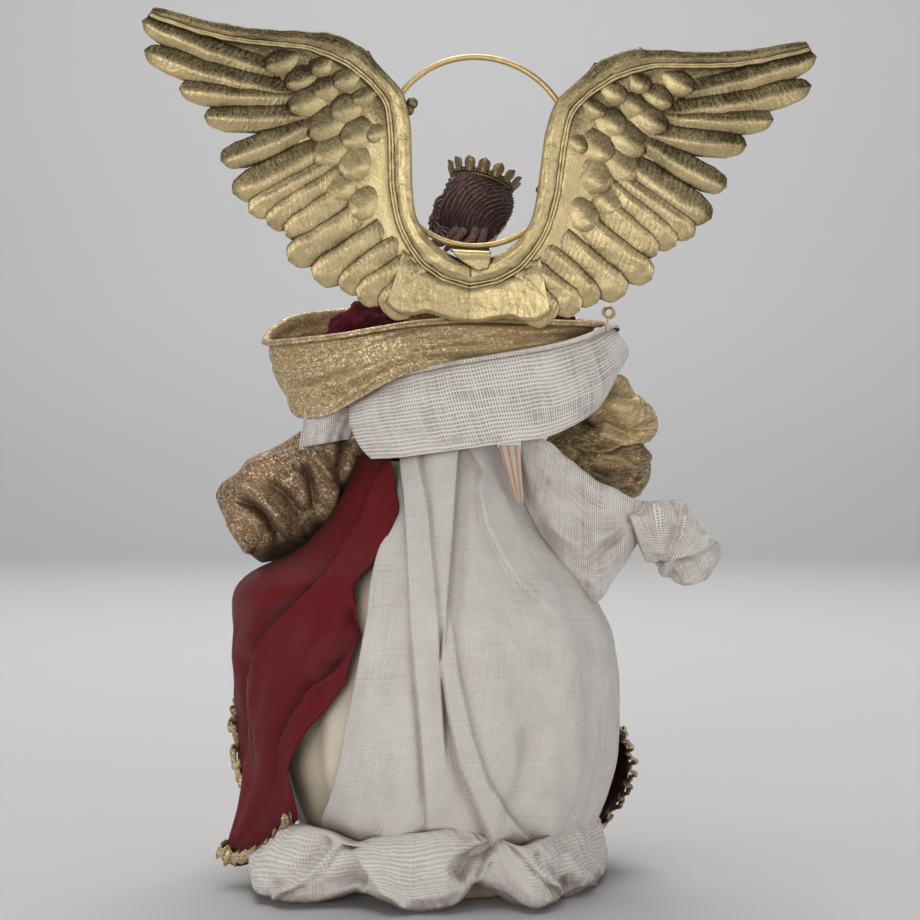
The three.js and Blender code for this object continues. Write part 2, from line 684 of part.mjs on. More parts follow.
// Angles of the edges at shares of the waist's height
const muslinEdge = [[0, -38], [0.1, -38], [0.24, -33], [0.38, -28], [0.55, -24], [0.76, -29], [1, -45]];
const redEdge = [
  [0, -52], [0.22, -48], [0.33, -44], [0.39, -40], [0.49, -33], [0.55, -28], [0.76, -32], [1, -48],
];
const muslinEnd = 94;
const redEnd = -263;
const muslinFoot = flounceHeight + skirtLift;
// Height of the red hem above the floor at angles round the figure, as shares of the waist's height
const redHemShares = [
  [-263, 0.1], [-255, 0.12], [-240, 0.34], [-200, 0.45], [-160, 0.45], [-125, 0.42], [-108, 0.4],
  [-100, 0.385], [-94, 0.33], [-84, 0.27], [-74, 0.15], [-66, 0.15], [-52, 0.185],
];
// Pleats of the muslin as [angle at the waist, at the middle, at the hem, width, height share]
const pleatShares = [
  [-43, -17, -12, 9, 0.6], [-24, -4, -3, 8, 1], [0, 2, 4, 7, 0.8], [22, 12, 22, 14, 0.7],
  [48, 36, 44, 18, 0.6], [70, 64, 68, 16, 0.4],
];
// Folds of the red satin in the same way
const redFoldShares = [
  [-46, -38, -58, 12, 1], [-60, -58, -72, 14, 1.2], [-80, -82, -88, 16, 1], [-110, -112, -114, 18, 0.9],
  [-140, -142, -143, 16, 0.8], [-170, -172, -170, 18, 0.8], [-200, -202, -204, 16, 0.8],
  [-230, -233, -234, 16, 0.8], [-250, -254, -256, 10, 0.8],
];

function pleats(rows, angle, share) {
  let height = 0;
  for (const [top, middle, foot, width, tall] of rows) {
    const line = share > 0.5 ? mix(middle, top, share * 2 - 1) : mix(foot, middle, share * 2);
    height += tall * bump(angle - line, width);
  }
  return height * pleatDepth * bounded(1.15 - share, 0.2, 1);
}

function skirtPlace(angle, height, radius) {
  return around(angle, radius, radius, height, waistShift * bounded(height / waistHeight, 0, 1));
}

const bellRadius = (height) => skirtRadius * readTable(bellShares, height / waistHeight);
const skirtTop = waistHeight - seatGap * 2;

function underskirtPlace(u, v) {
  const height = mix(skirtLift, skirtTop, v);
  const share = height / waistHeight;
  const inset = underskirtInset + pleatDepth * 0.4 * (1 - share);
  const radius = (bellRadius(height) - inset) * readTable(tuckShares, share);
  const wave = pleatDepth * 0.3 * Math.cos(12 * Math.PI * 2 * u) * (1 - share);
  return skirtPlace(360 * u, height, radius + wave);
}

function muslinPlace(u, v) {
  const height = mix(muslinFoot, skirtTop, v);
  const share = height / waistHeight;
  const angle = mix(readTable(muslinEdge, share), muslinEnd, u);
  return skirtPlace(angle, height, bellRadius(height) - clothThickness + pleats(pleatShares, angle, share));
}

function redRadius(angle, height) {
  const share = height / waistHeight;
  const swing = Math.sqrt(bump(angle - redSwingAngle, redSwingSpread));
  const plain = bellRadius(height) - clothThickness;
  const lifted = redSwing * readTable(redLeftShares, share);
  const flare = redFlare * bump(angle - redEnd, redFlareSpread) * bump(share - 0.2, 0.2);
  return mix(plain, lifted, swing) + flare + pleats(redFoldShares, angle, share);
}

function redPlace(u, v) {
  const spread = (share) => mix(redEnd, readTable(redEdge, share), u);
  const hem = waistHeight * readTable(redHemShares, spread(0));
  const height = mix(hem, skirtTop, v);
  const angle = spread(height / waistHeight);
  return skirtPlace(angle, height, redRadius(angle, height));
}

function makeSkirts() {
  add('underskirt', sheet(underskirtPlace, 24, 6, clothThickness, true), 'creamSatin');
  add('muslin_overskirt', sheet(muslinPlace, 28, 8), 'muslin');
  add('red_overskirt', sheet(redPlace, 38, 8), 'redSatin');
  const braidOffset = clothThickness / 2 + seatGap + braidRadius;
  const hemPoints = Array.from({ length: braidPointCount + 1 }, (unused, i) => {
    const place = redPlace(i / braidPointCount, 0.02);
    const outwards = point(place.x, place.y, 0).setLength(braidOffset * 1.15);
    return place.add(outwards);
  });
  add('hem_braid', wire(hemPoints, braidRadius, 5, 44), 'braid');
}

// The muslin's gathered hem: a soft roll on the floor, lifted between its lobes
// Its reach, foot and top at angles round the figure, as shares of the skirt's radius and the roll's height
const rollShares = [
  [-74, 1.05, 0.19, 0.6], [-62, 1.15, 0.06, 0.7], [-52, 1.215, 0.03, 0.95], [-43, 1.25, 0, 0.97],
  [-35, 1.12, 0.1, 0.92], [-27, 1.03, 0.25, 0.86], [-18, 1.03, 0.19, 0.92], [-8, 1.035, 0, 0.97],
  [2, 1.02, 0.05, 1], [11, 0.97, 0.35, 1], [19, 1, 0.25, 0.95], [26, 1.15, 0, 0.8], [33, 1.09, 0, 0.94],
  [42, 0.985, 0, 0.96], [62, 0.96, 0, 0.96], [80, 0.95, 0, 0.94], [92, 0.92, 0, 0.88],
];
const rollStationCount = 44;
const rollSideCount = 8;

function makeFlounce() {
  const from = rollShares[0][0];
  const to = rollShares.at(-1)[0];
  const column = (number) => rollShares.map((row) => [row[0], row[number]]);
  const rings = Array.from({ length: rollStationCount + 1 }, (unused, station) => {
    const angle = mix(from, to, station / rollStationCount);
    const reach = skirtRadius * readTable(column(1), angle);
    const [foot, top] = [2, 3].map((number) => flounceHeight * readTable(column(number), angle));
    const half = (reach - flounceInnerRadius) / 2;
    return Array.from({ length: rollSideCount }, (alsoUnused, i) => {
      const turn = 2 * Math.PI * (i + 0.5) / rollSideCount;
      const radius = reach - half + half * Math.cos(turn);
      return around(angle, radius, radius, (foot + top + (top - foot) * Math.sin(turn)) / 2);
    });
  });
  const roll = solidOf(loft(rings));
  const inside = solidOf(sheet(underskirtPlace, 24, 6, clothThickness + seatGap * 2, true));
  add('hem_flounce', geometryOf(largestOf(roll.subtract(inside))), 'muslin');
}

// Bodice and velvet sleeves
const velvetGirth = { left: 25, right: 17 };
const velvetForm = (side) => ({
  girth: velvetGirth[side],
  widthShares: [[0, 0.76], [0.4, 1], [0.75, 0.66], [1, 0.34]],
  depthShares: [[0, 0.55], [0.4, 0.85], [0.75, 0.6], [1, 0.34]],
});
const velvetEndShare = { left: 0.86, right: 0.655 };
// How far the puffed middle stands out, back and up, as shares of the girth
const velvetPuffShares = { left: [0.45, 0.1, 0.42], right: [0.1, 0.1, 0.45] };

function velvetPath(side) {
  const out = side === 'left' ? -1 : 1;
  const { shoulder, elbow } = arms[side];
  const rise = velvetGirth.right * 0.17;
  const start = shoulder.clone().add(point(out * (socketDepth + rise), -rise, -rise * 0.7));
  const end = shoulder.clone().lerp(elbow, velvetEndShare[side]);
  const [puffOut, puffBack, puffUp] = velvetPuffShares[side];
  const puff = point(out * puffOut, -puffBack, puffUp).multiplyScalar(velvetGirth[side]);
  return [start, start.clone().lerp(end, 0.5).add(puff), end];
}

function puffs(count, depth) {
  return (turn, share) => depth * Math.cos(count * turn + 6 * share) * Math.sin(Math.PI * share);
}

function makeBodice() {
  const rows = bodiceShares.length - 1;
  const sides = bodiceSideCount;
  const rings = trunkRings(clothThickness + seatGap, bodiceShares, sides);
  const place = (u, v) => rings[Math.round(v * rows)][Math.round(u * sides) % sides];
  const cloth = solidOf(sheet(place, sides, rows, clothThickness, true));
  const cuts = Object.values(arms).map((arm) => solidOf(armWire(arm, seatGap)));
  const width = blockWidth + seatGap * 3;
  const height = blockHeight * 2 + seatGap * 2;
  const block = new THREE.BoxGeometry(width, skirtRadius, height)
    .translate(wingSeat.shift, -skirtRadius / 2, shawlTop + blockHeight + seatGap * 3 - height / 2);
  const bodice = [...cuts, solidOf(block)].reduce((left, one) => left.subtract(one), cloth);
  add('velvet_bodice', geometryOf(bodice), 'velvet');
  const room = solidOf(loft(trunkRings(clothThickness * 2 + seatGap, [0, 0.25, 0.55, 0.75, 0.9, 1], sides)));
  for (const side of ['left', 'right']) {
    const puff = solidOf(sleeve(velvetPath(side), velvetForm(side), 10, 5, puffs(5, 0.08)));
    const armRoom = solidOf(armWire(arms[side], seatGap));
    add(`${side}_velvet_sleeve`, geometryOf(largestOf(puff.subtract(room).subtract(armRoom))), 'velvet');
  }
}

// Gold sleeves, each round the end of its velvet sleeve
const leftSleevePath = [
  velvetPath('left')[2],
  ...[[-0.312, 0.024, 0.971], [-0.405, 0.044, 0.893], [-0.473, 0.068, 0.834]].map(placeAt),
];
const leftSleeveForm = {
  girth: 25,
  widthShares: [[0, 0.385], [0.3, 0.76], [0.6, 1], [0.85, 0.88], [1, 0.72]],
  depthShares: [[0, 0.385], [0.3, 0.6], [0.7, 0.76], [1, 0.64]],
};
const rightSleevePath = [
  velvetPath('right')[2],
  ...[[0.4, 0.022, 1.146], [0.434, 0.034, 1.102], [0.434, 0.05, 1.059]].map(placeAt),
];
const rightSleeveForm = {
  girth: 20,
  widthShares: [[0, 0.48], [0.5, 0.75], [0.8, 1], [1, 0.85]],
  depthShares: [[0, 0.48], [0.5, 0.6], [0.8, 0.7], [1, 0.6]],
};
const cuffPath = [[0.424, 0.054, 1.056], [0.41, 0.068, 0.99], [0.405, 0.083, 0.907]].map(placeAt);
const cuffForm = {
  girth: 24,
  widthShares: [[0, 0.4], [0.4, 1], [0.8, 1], [1, 0.82]],
  depthShares: [[0, 0.27], [0.4, 0.6], [0.8, 0.62], [1, 0.52]],
};
const clothRoom = clothThickness / 2 + seatGap;

const leftRings = (grow) => ringsAlong(leftSleevePath, leftSleeveForm, 16, 6, puffs(7, 0.09), grow);
function velvetRings(side, grow) {
  return ringsAlong(velvetPath(side), velvetForm(side), 10, 5, puffs(5, 0.08), grow);
}

function makeGoldSleeves() {
  const velvetRoom = (side) => solidOf(loft(velvetRings(side, clothRoom)));
  const left = solidOf(sleeve(leftSleevePath, leftSleeveForm, 16, 6, puffs(7, 0.09)));
  add('left_gold_sleeve', geometryOf(largestOf(left.subtract(velvetRoom('left')))), 'bronzeLame');
  const right = solidOf(sleeve(rightSleevePath, rightSleeveForm, 12, 6, puffs(5, 0.08)));
  add('right_gold_sleeve', geometryOf(largestOf(right.subtract(velvetRoom('right')))), 'goldLame');
  add('right_gold_cuff', sleeve(cuffPath, cuffForm, 12, 4, puffs(4, 0.07)), 'goldLame');
}

// Shawl and sash as [angle, lower edge, upper edge], in shares of the waist's height
const shawlShares = [
  [-180, 1.278, 1.385], [-150, 1.268, 1.385], [-120, 1.229, 1.361], [-90, 1.171, 1.298],
  [-62, 1.102, 1.288], [-30, 1.151, 1.298], [-12, 1.185, 1.322], [10, 1.22, 1.337], [40, 1.273, 1.332],
  [70, 1.278, 1.332], [110, 1.278, 1.346], [150, 1.278, 1.371], [180, 1.278, 1.385],
];
const sashShares = [
  [-60, 1, 1.122], [-30, 1.005, 1.171], [0, 1.029, 1.229], [30, 1.054, 1.273], [58, 1.122, 1.312],
  [74, 1.2, 1.332], [90, 1.234, 1.327], [112, 1.234, 1.317], [132, 1.18, 1.288], [180, 1.054, 1.21],
  [228, 1.005, 1.122],
];

function wrapPlace(wrap, edgeShares, angle, v) {
  const low = readTable(edgeShares.map(([at, bottom]) => [at, bottom]), angle);
  const high = readTable(edgeShares.map(([at, , top]) => [at, top]), angle);
  const fold = wrap.foldDepth * Math.sin(3 * Math.PI * v + radians(angle) * 2) - wrap.tuck * (1 - v);
  const height = waistHeight * mix(low, high, v);
  return around(angle, wrap.halfWidth + fold, wrap.halfDepth + fold, height, wrap.centre);
}

// Corners of the loose gauze end that lies over the left sleeve
const tailShares = { inner: [-0.2405, -0.098, 1.098], outer: [-0.341, 0.068, 1.049] };

function makeWraps() {
  const shawlCloth = (u, v) => wrapPlace(shawl, shawlShares, 360 * u - 180, v);
  add('gold_shawl', sheet(shawlCloth, 28, 5, clothThickness, true), 'goldLame');
  const start = sashShares[0][0];
  const end = sashShares.at(-1)[0];
  add('gauze_sash', sheet((u, v) => wrapPlace(sash, sashShares, mix(start, end, u), v), 28, 5), 'gauze');
  const inner = placeAt(tailShares.inner);
  const outer = placeAt(tailShares.outer);
  const tail = solidOf(sheet((u, v) => point(
    mix(inner.x, outer.x, u),
    mix(inner.y, outer.y, v),
    mix(inner.z, outer.z, u) + tailCrown * Math.sin(Math.PI * v),
  ), 4, 6));
  add('gauze_tail', geometryOf(largestOf(tail.subtract(solidOf(loft(leftRings(clothRoom)))))), 'gauze');
}

// The gauze that falls from the hip to its knotted end
// Its edges and the knot's path are in shares of the waist's height
const drapeTopShares = [
  [0.195, -0.102, 1.039], [0.288, -0.117, 1.005], [0.327, -0.117, 0.976],
  [0.41, -0.098, 0.932], [0.486, -0.063, 0.893],
];
const drapeFootShares = [
  [0.205, -0.088, 0.956], [0.234, -0.088, 0.868], [0.283, -0.088, 0.79],
  [0.356, -0.083, 0.693], [0.486, -0.063, 0.741],
];
const knotShares = [
  [0.488, -0.063, 0.82], [0.517, -0.063, 0.82], [0.556, -0.039, 0.805], [0.605, -0.02, 0.761],
  [0.673, -0.01, 0.722],
];
const drapeFold = 3;
const knotForm = {
  girth: 16,
  widthShares: [[0, 0.875], [0.3, 0.69], [0.5, 0.94], [0.75, 1], [0.92, 0.69], [1, 0.19]],
  depthShares: [[0, 0.44], [0.3, 0.56], [0.5, 0.81], [0.75, 0.875], [0.92, 0.625], [1, 0.19]],
};
const ribbonWidth = 9;
const ribbonSway = 6;
const ribbonShares = { foot: [0.132, -0.1445, 0.898], top: [0.132, -0.1355, 1.015] };

function curveOf(rows) {
  return new THREE.CatmullRomCurve3(rows.map(placeAt));
}

function makeDrape() {
  const knotStart = placeAt(knotShares[0]);
  const reach = knotStart.x - seatGap;
  const until = (curve) => {
    const end = curve.points.at(-1);
    end.x = reach;
    end.y = knotStart.y;
    return curve;
  };
  const top = until(curveOf(drapeTopShares));
  const foot = until(curveOf(drapeFootShares));
  const wave = (v) => (1 + Math.cos(4 * Math.PI * v)) / 2 + Math.sin(Math.PI * v);
  const fall = (u, v) => foot.getPoint(u).lerp(top.getPoint(u), v)
    .add(point(0, -drapeFold * wave(v) * (1 - u), 0));
  add('gauze_drape', sheet(fall, 12, 8), 'gauze');
  const knot = loft(ringsAlong(knotShares.map(placeAt), knotForm, 14, 12,
    (turn, share) => 0.09 * Math.cos(4 * turn + 9 * share)));
  add('gauze_knot', knot, 'gauze');
  const low = placeAt(ribbonShares.foot);
  const high = placeAt(ribbonShares.top);
  const ribbon = (u, v) => low.clone().lerp(high, v)
    .add(point(ribbonWidth * u + ribbonSway * (1 - v), seatGap * 5 * u, 0));
  add('striped_ribbon', sheet(ribbon, 2, 4), 'ribbon');
}

function makeEyelet() {
  const foot = wrapPlace(sash, sashShares, eyeletAngle, 1).add(point(0, 0, seatGap));
  const centre = foot.clone().add(point(0, 0, eyeletStem + eyeletRadius));
  const loop = new THREE.TorusGeometry(eyeletRadius, eyeletWireRadius, 5, 9).rotateX(Math.PI / 2)
    .translate(centre.x, centre.y, centre.z);
  const second = loop.clone().translate(eyeletWireRadius, eyeletWireRadius * 1.3, -eyeletWireRadius);
  const top = foot.clone().add(point(0, 0, eyeletStem));
  const stem = wire([foot, foot.clone().lerp(top, 0.5), top], eyeletWireRadius, 5, 2);
  add('wire_eyelet', geometryOf(joined([loop, second, stem])), 'goldWire');
}

makeFoot();
makeCone();
makeTrunk();
makeHead();
makeBackSet();
makeWingBlock();
makeSkirts();
makeFlounce();
makeBodice();
makeGoldSleeves();
makeWraps();
makeDrape();
makeEyelet();

export default figure;
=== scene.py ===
import math
import bmesh
import bpy
import numpy as np
from mathutils import Matrix, Vector


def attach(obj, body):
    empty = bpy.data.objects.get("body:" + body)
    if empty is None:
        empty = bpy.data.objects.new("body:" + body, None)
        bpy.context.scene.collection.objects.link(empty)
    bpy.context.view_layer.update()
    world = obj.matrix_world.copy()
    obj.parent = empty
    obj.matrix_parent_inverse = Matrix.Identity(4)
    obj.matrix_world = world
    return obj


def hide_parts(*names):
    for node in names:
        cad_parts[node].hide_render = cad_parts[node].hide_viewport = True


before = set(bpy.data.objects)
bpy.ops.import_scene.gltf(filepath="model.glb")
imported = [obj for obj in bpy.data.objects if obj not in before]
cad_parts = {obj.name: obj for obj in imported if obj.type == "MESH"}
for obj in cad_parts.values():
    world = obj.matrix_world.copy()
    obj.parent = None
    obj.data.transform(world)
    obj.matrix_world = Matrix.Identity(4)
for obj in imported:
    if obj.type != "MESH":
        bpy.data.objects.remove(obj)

scene = bpy.context.scene
mm = 0.001
weld, sliver = 2e-6, 1e-7  # metres, under which corners are joined and edges dropped
for name in ("Cube", "Light", "Camera"):
    if name in bpy.data.objects:
        bpy.data.objects.remove(bpy.data.objects[name])
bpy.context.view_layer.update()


def table(rows, at):  # straight lines between rows of place and value
    rows = np.array(rows, float)
    return np.interp(at, rows[:, 0], rows[:, 1])


def softTable(rows, at, blur):  # the same with its corners rounded off
    return sum(table(rows, at + blur * step) for step in (-1, -0.5, 0, 0.5, 1)) / 5


def inside(value):
    return np.clip(value, 0, 1)


def bump(distance, reach):
    return np.cos(inside(np.abs(distance) / reach) * np.pi / 2) ** 2


def stepUp(value, low, high):
    share = inside((value - low) / (high - low))
    return share * share * (3 - 2 * share)


def unit(way):
    return way / np.maximum(np.linalg.norm(way, axis=1, keepdims=True), 1e-9)


def spline(points, share):  # a smooth line through the points
    points = np.array(points, float)
    place = inside(share) * (len(points) - 1)
    first = np.clip(place.astype(int), 0, len(points) - 2)
    t = (place - first)[:, None]
    a, b, c, d = (points[np.clip(first + k, 0, len(points) - 1)] for k in (-1, 0, 1, 2))
    return 0.5 * (2 * b + (c - a) * t + (2 * a - 5 * b + 4 * c - d) * t ** 2 + (3 * b - a - 3 * c + d) * t ** 3)


def unevenness(p, size, seed, creased=False):  # crossing bent waves, from about -1 to 1
    random = np.random.default_rng(seed)
    total = 0
    for wave in size * random.uniform(0.55, 1.6, 7):
        along, across = random.normal(size=(2, 3))
        phase = random.uniform(0, 6.28, 2)
        bend = np.sin(p @ across * (2.7 / wave) + phase[0]) * 1.2
        line = np.sin(p @ (along / np.linalg.norm(along)) * (6.28 / wave) + phase[1] + bend)
        total = total + (1 - 2 * np.abs(line) ** 0.7 if creased else line)
    return total / 3.2


def stack(*columns):
    return np.stack(np.broadcast_arrays(*columns), 1).astype(float)


def around(angle, halfWidth, halfDepth, height, centre=0):
    turn = np.radians(angle)
    return stack(centre + halfWidth * np.sin(turn), -halfDepth * np.cos(turn), height)


def facesOf(verts):
    return {face for vert in verts for face in vert.link_faces}


def grid(bm, place, columns, rows, wide=1, long=1, material=0):  # a patch bent to its place
    uvMap = bm.loops.layers.uv.verify()
    made = bmesh.ops.create_grid(bm, x_segments=columns, y_segments=rows, size=0.5)["verts"]
    at = np.array([v.co[:2] for v in made])
    at = (at - at.min(0)) / (at.max(0) - at.min(0))
    shares = dict(zip(made, at))
    for face in facesOf(made):
        face.smooth = True
        face.material_index = material
        for corner in face.loops:
            share = shares[corner.vert]
            corner[uvMap].uv = (share[0] * wide, share[1] * long)
    for vert, co in zip(made, place(at[:, 0], at[:, 1]) * mm):
        vert.co = co
    return made


def keep(bm, name, looks, slotName, node=None, closed=True):  # in place of the node of the same name
    bmesh.ops.remove_doubles(bm, verts=bm.verts, dist=weld)
    bmesh.ops.dissolve_degenerate(bm, edges=bm.edges, dist=sliver)
    if closed:
        bmesh.ops.recalc_face_normals(bm, faces=bm.faces)
    mesh = bpy.data.meshes.new(name)
    bm.to_mesh(mesh)
    bm.free()
    for look in looks.split():
        mesh.materials.append(finishes[look])
    piece = bpy.data.objects.new(name, mesh)
    scene.collection.objects.link(piece)
    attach(piece, "root")
    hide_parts(node or "".join("_" + c.lower() if c.isupper() else c for c in name))
    return piece


def giveWall(piece, thick):
    wall = piece.modifiers.new("wall", "SOLIDIFY")
    wall.thickness, wall.offset = thick * mm, 0


def cloth(name, place, columns, rows, flat, look, slotName, held, rests, thick=0.5, loop=False, area=None):
    bm = bmesh.new()
    ways = np.linspace(0, 1, 300)
    middle = np.full_like(ways, 0.5)
    lengths = [np.linalg.norm(np.diff(line, axis=0), axis=1).sum() * mm
               for line in (place(ways, middle), place(middle, ways))]
    grid(bm, place, columns, rows, *lengths)
    made = sum(f.calc_area() for f in bm.faces)
    piece = keep(bm, name, look, slotName, closed=loop)
    giveWall(piece, thick)
    print(f"{name}: {made / (area or flat[0] * flat[1]):.2f} of its flat area")


def alongPath(path, v, step, aside):  # the middle of a tube and two ways across it
    ahead = unit(spline(path, inside(v + step)) - spline(path, inside(v - step)))
    side = unit(np.cross(ahead, aside))
    return spline(path, v), side, np.cross(ahead, side)


def tube(bm, path, radius, sides, steps):
    def place(u, v):
        centre, side, depth = alongPath(path, v, 1e-3, [0.31, 0.95, 0.05])
        turn = (u * 2 * np.pi)[:, None]
        size = (radius(v) if callable(radius) else np.full(len(v), radius))[:, None]
        nearEnd = inside(np.abs(v - 0.5) * 2 - 1 + 2 / steps) * steps / 2
        ends = np.sqrt(inside(1 - nearEnd ** 2))[:, None]
        return centre + (side * np.cos(turn) + depth * np.sin(turn)) * size * ends
    return grid(bm, place, sides, steps)


class Signal:
    def __init__(self, paint, socket):
        self.paint, self.socket = paint, socket

    def maths(self, operation, other, swapped=False):
        pair = (other, self) if swapped else (self, other)
        return self.paint.node("Math", {"operation": operation}, {0: pair[0], 1: pair[1]})

    def __add__(self, other):
        return self.maths("ADD", other)

    def __sub__(self, other):
        return self.maths("SUBTRACT", other)

    def __rsub__(self, other):
        return self.maths("SUBTRACT", other, True)

    def __mul__(self, other):
        return self.maths("MULTIPLY", other)

    __radd__ = __add__


class Paint:
    def __init__(self, name, constants):
        self.material = bpy.data.materials.new(name)
        self.material.use_nodes = True
        self.tree = self.material.node_tree
        self.shader = self.tree.nodes["Principled BSDF"]
        for socket, value in constants.items():
            self.shader.inputs[socket].default_value = value

    def node(self, kind, settings, inputs, output=0):
        made = self.tree.nodes.new("ShaderNode" + kind)
        for key, value in settings.items():
            setattr(made, key, value)
        for key, value in inputs.items():
            self.feed(made.inputs[key], value)
        return Signal(self, made.outputs[output])

    def feed(self, socket, value):
        if isinstance(value, Signal):
            self.tree.links.new(value.socket, socket)
        else:
            socket.default_value = value

    def set(self, **inputs):
        for key, value in inputs.items():
            self.feed(self.shader.inputs[key.replace("_", " ")], value)

    def place(self):
        return self.node("TexCoord", {}, {}, 3)

    def uv(self):
        return self.node("TexCoord", {}, {}, 2)

    def attribute(self, name):
        return self.node("Attribute", {"attribute_name": name}, {}, 2)

    def stretched(self, at, across, along):
        return self.node("Mapping", {}, {"Vector": at, "Scale": (across, along, 1)})

    def noise(self, at, scale, detail=3, rough=0.55):
        return self.node("TexNoise", {}, {"Vector": at, "Scale": scale, "Detail": detail, "Roughness": rough})

    def mix(self, share, first, second):
        first, second = (c if isinstance(c, Signal) else (*c, 1) for c in (first, second))
        return self.node("Mix", {"data_type": "RGBA"}, {0: share, 6: first, 7: second}, 2)

    def split(self, vector):
        return [self.node("SeparateXYZ", {}, {0: vector}, k) for k in range(3)]

    def wave(self, value):
        return self.node("Math", {"operation": "SINE"}, {0: value})

    def clamp(self, value, low=0, high=1):
        return self.node("MapRange", {"clamp": True}, {0: value, 1: low, 2: high, 3: 0, 4: 1})

    def relief(self, height, depth, strength):
        self.set(Normal=self.node("Bump", {}, {"Height": height, "Distance": depth, "Strength": strength}))

    def closeness(self, distance):
        return self.node("AmbientOcclusion", {"samples": 6, "only_local": False}, {"Distance": distance}, 1)


def goldFinish(name, bright, dark, barbs=False, worn=0.5):
    paint = Paint(name, {"Specular IOR Level": 0.5})
    at = paint.place()
    # ambient occlusion over 6 mm: painted shade that darkens the colour in hollows and where parts overlap
    aoShade = paint.closeness(0.006)
    patches = paint.noise(at, 60, 4)
    fine = paint.noise(at, 1000)
    streaks = paint.noise(paint.stretched(paint.uv(), 700, 45), 1)
    height = fine * 0.4 + paint.noise(at, 240) * 0.6
    # the share of bright colour: worn patches, grain and streaks, plus the painted shade from ambient occlusion
    toneAndShade = aoShade * 1.4 - 0.58 + (patches - 0.5) * worn + (fine - 0.5) * 0.9 + (streaks - 0.5) * 0.5
    # the wings' painted shade darkens their upper faces and the roots of the feathers
    toneAndShade = paint.clamp(toneAndShade - paint.attribute("paintedShade") * 0.8, 0.0, 0.8)
    if barbs:
        u, v, _ = paint.split(paint.uv())
        lines = paint.wave(u * 2200 + v * 900 + paint.noise(at, 90) * 12)
        scratch = paint.clamp(lines + (paint.noise(at, 130, 2) - 0.5) * 2.5, 0.45, 1.2)
        height = height + scratch * 0.4
        toneAndShade = toneAndShade + scratch * 0.12
    paint.set(Base_Color=paint.mix(paint.clamp(toneAndShade), dark, bright), Metallic=toneAndShade * 0.2 + 0.65,
              Roughness=0.52 - toneAndShade * 0.1 + (fine - 0.5) * 0.3)
    paint.relief(height, 0.0007, 0.7)
    return paint.material


def weaveHeights(paint, uv, pitch, slubs=1.0):  # crossing threads, with thick and thin ones
    u, v, _ = paint.split(uv)
    fine, long = 1 / pitch * 0.6, 26
    warpNoise = paint.noise(paint.stretched(uv, fine, long), 1.0, 2)
    weftNoise = paint.noise(paint.stretched(uv, long, fine), 1.0, 2)
    sway = paint.noise(uv, 90, 2) - 0.5 + (paint.noise(uv, 35, 2) - 0.5) * slubs
    warp, weft = ((paint.wave((way + sway * pitch * 0.9) * (6.283 / pitch)) * 0.5 + 0.5)
                  * (0.75 + (noise - 0.5) * slubs) for way, noise in ((u, warpNoise), (v, weftNoise)))
    thick = paint.clamp(warpNoise, 0.66, 0.74) + paint.clamp(weftNoise, 0.68, 0.76)
    return paint.node("Math", {"operation": "MAXIMUM"}, {0: warp, 1: weft}), thick


def wovenFinish(name, thread, gap, pitch, bumpDepth, cover, slubs, tint=None, recessShade=(0.36, 0.31, 0.26)):
    paint = Paint(name, {"Roughness": 0.9, "Sheen Weight": 0.12, "Sheen Roughness": 0.5,
                         "Specular IOR Level": 0.2})
    at, uv = paint.place(), paint.uv()
    threads, thick = weaveHeights(paint, uv, pitch, slubs)
    loose = (paint.noise(at, 75) - 0.5) * slubs * 0.45
    colour = paint.mix(paint.clamp(threads + loose, cover, cover + 0.35), gap, thread)
    if tint:
        colour = paint.mix(paint.clamp(paint.noise(at, 28), 0.45, 0.75) * 0.6, colour, tint)
    colour = paint.mix(thick * 0.3, colour, (0.95, 0.93, 0.9))
    # painted shade: ambient occlusion mixes the dark recess colour into folds and creases
    paint.set(Base_Color=paint.mix(paint.clamp(paint.closeness(0.018), 0.15, 0.85), recessShade, colour))
    paint.relief(threads + thick * 0.6 + paint.noise(at, 260) * 0.8, bumpDepth, 0.7)
    return paint.material


def lameFinish(name, bright, mid, dark, glitter=0.62, depth=0.0004):
    paint = Paint(name, {"Specular IOR Level": 0.5, "Sheen Weight": 0.1})
    at, uv = paint.place(), paint.uv()
    threads, _ = weaveHeights(paint, uv, 0.0008, 0.8)
    speck = paint.split(paint.node("TexVoronoi", {}, {"Vector": at, "Scale": 1300}, 1))[0]
    glint = paint.clamp(speck, glitter, 1.15)
    grain = paint.noise(paint.stretched(uv, 240, 900), 1.0, 3, 0.6)
    worn = paint.clamp(paint.noise(at, 45, 4), 0.35, 0.68)
    colour = paint.mix(worn, dark, mid)
    colour = paint.mix(paint.clamp(grain + (threads - 0.5) * 0.25, 0.42, 0.72), colour, bright)
    # painted glints: pale specks in the colour, where the metallic is also raised
    colour = paint.mix(glint, colour, (1.0, 0.86, 0.6))
    # painted shade: ambient occlusion darkens folds and creases towards the dark colour
    colour = paint.mix(paint.clamp(paint.closeness(0.018), 0.25, 0.88), dark, colour)
    paint.set(Base_Color=colour, Metallic=0.3 + glint * 0.45, Roughness=0.5 - glint * 0.2)
    paint.relief(grain * 0.8 + threads * 0.35 + speck * 0.4, depth, 0.5)
    return paint.material


def satinFinish(name, light, dark, roughness=0.42, shine=0.35):
    paint = Paint(name, {"Specular IOR Level": shine, "Sheen Weight": shine * 0.15, "Sheen Roughness": 0.35})
    at = paint.place()
    cloud = paint.noise(at, 35)
    ribs = paint.wave(paint.split(paint.uv())[0] * 15000) * 0.5 + 0.5
    # painted shade from ambient occlusion in the fold valleys, with random cloudy tone
    toneAndShade = paint.clamp(paint.closeness(0.03) * 1.5 - 0.6 + (cloud - 0.5) * 0.4, 0.1, 0.8)
    paint.set(Base_Color=paint.mix(toneAndShade, dark, light), Roughness=roughness + (cloud - 0.5) * 0.15)
    paint.relief(paint.noise(at, 150) + ribs * 0.12, 0.0005, 0.5)
    return paint.material


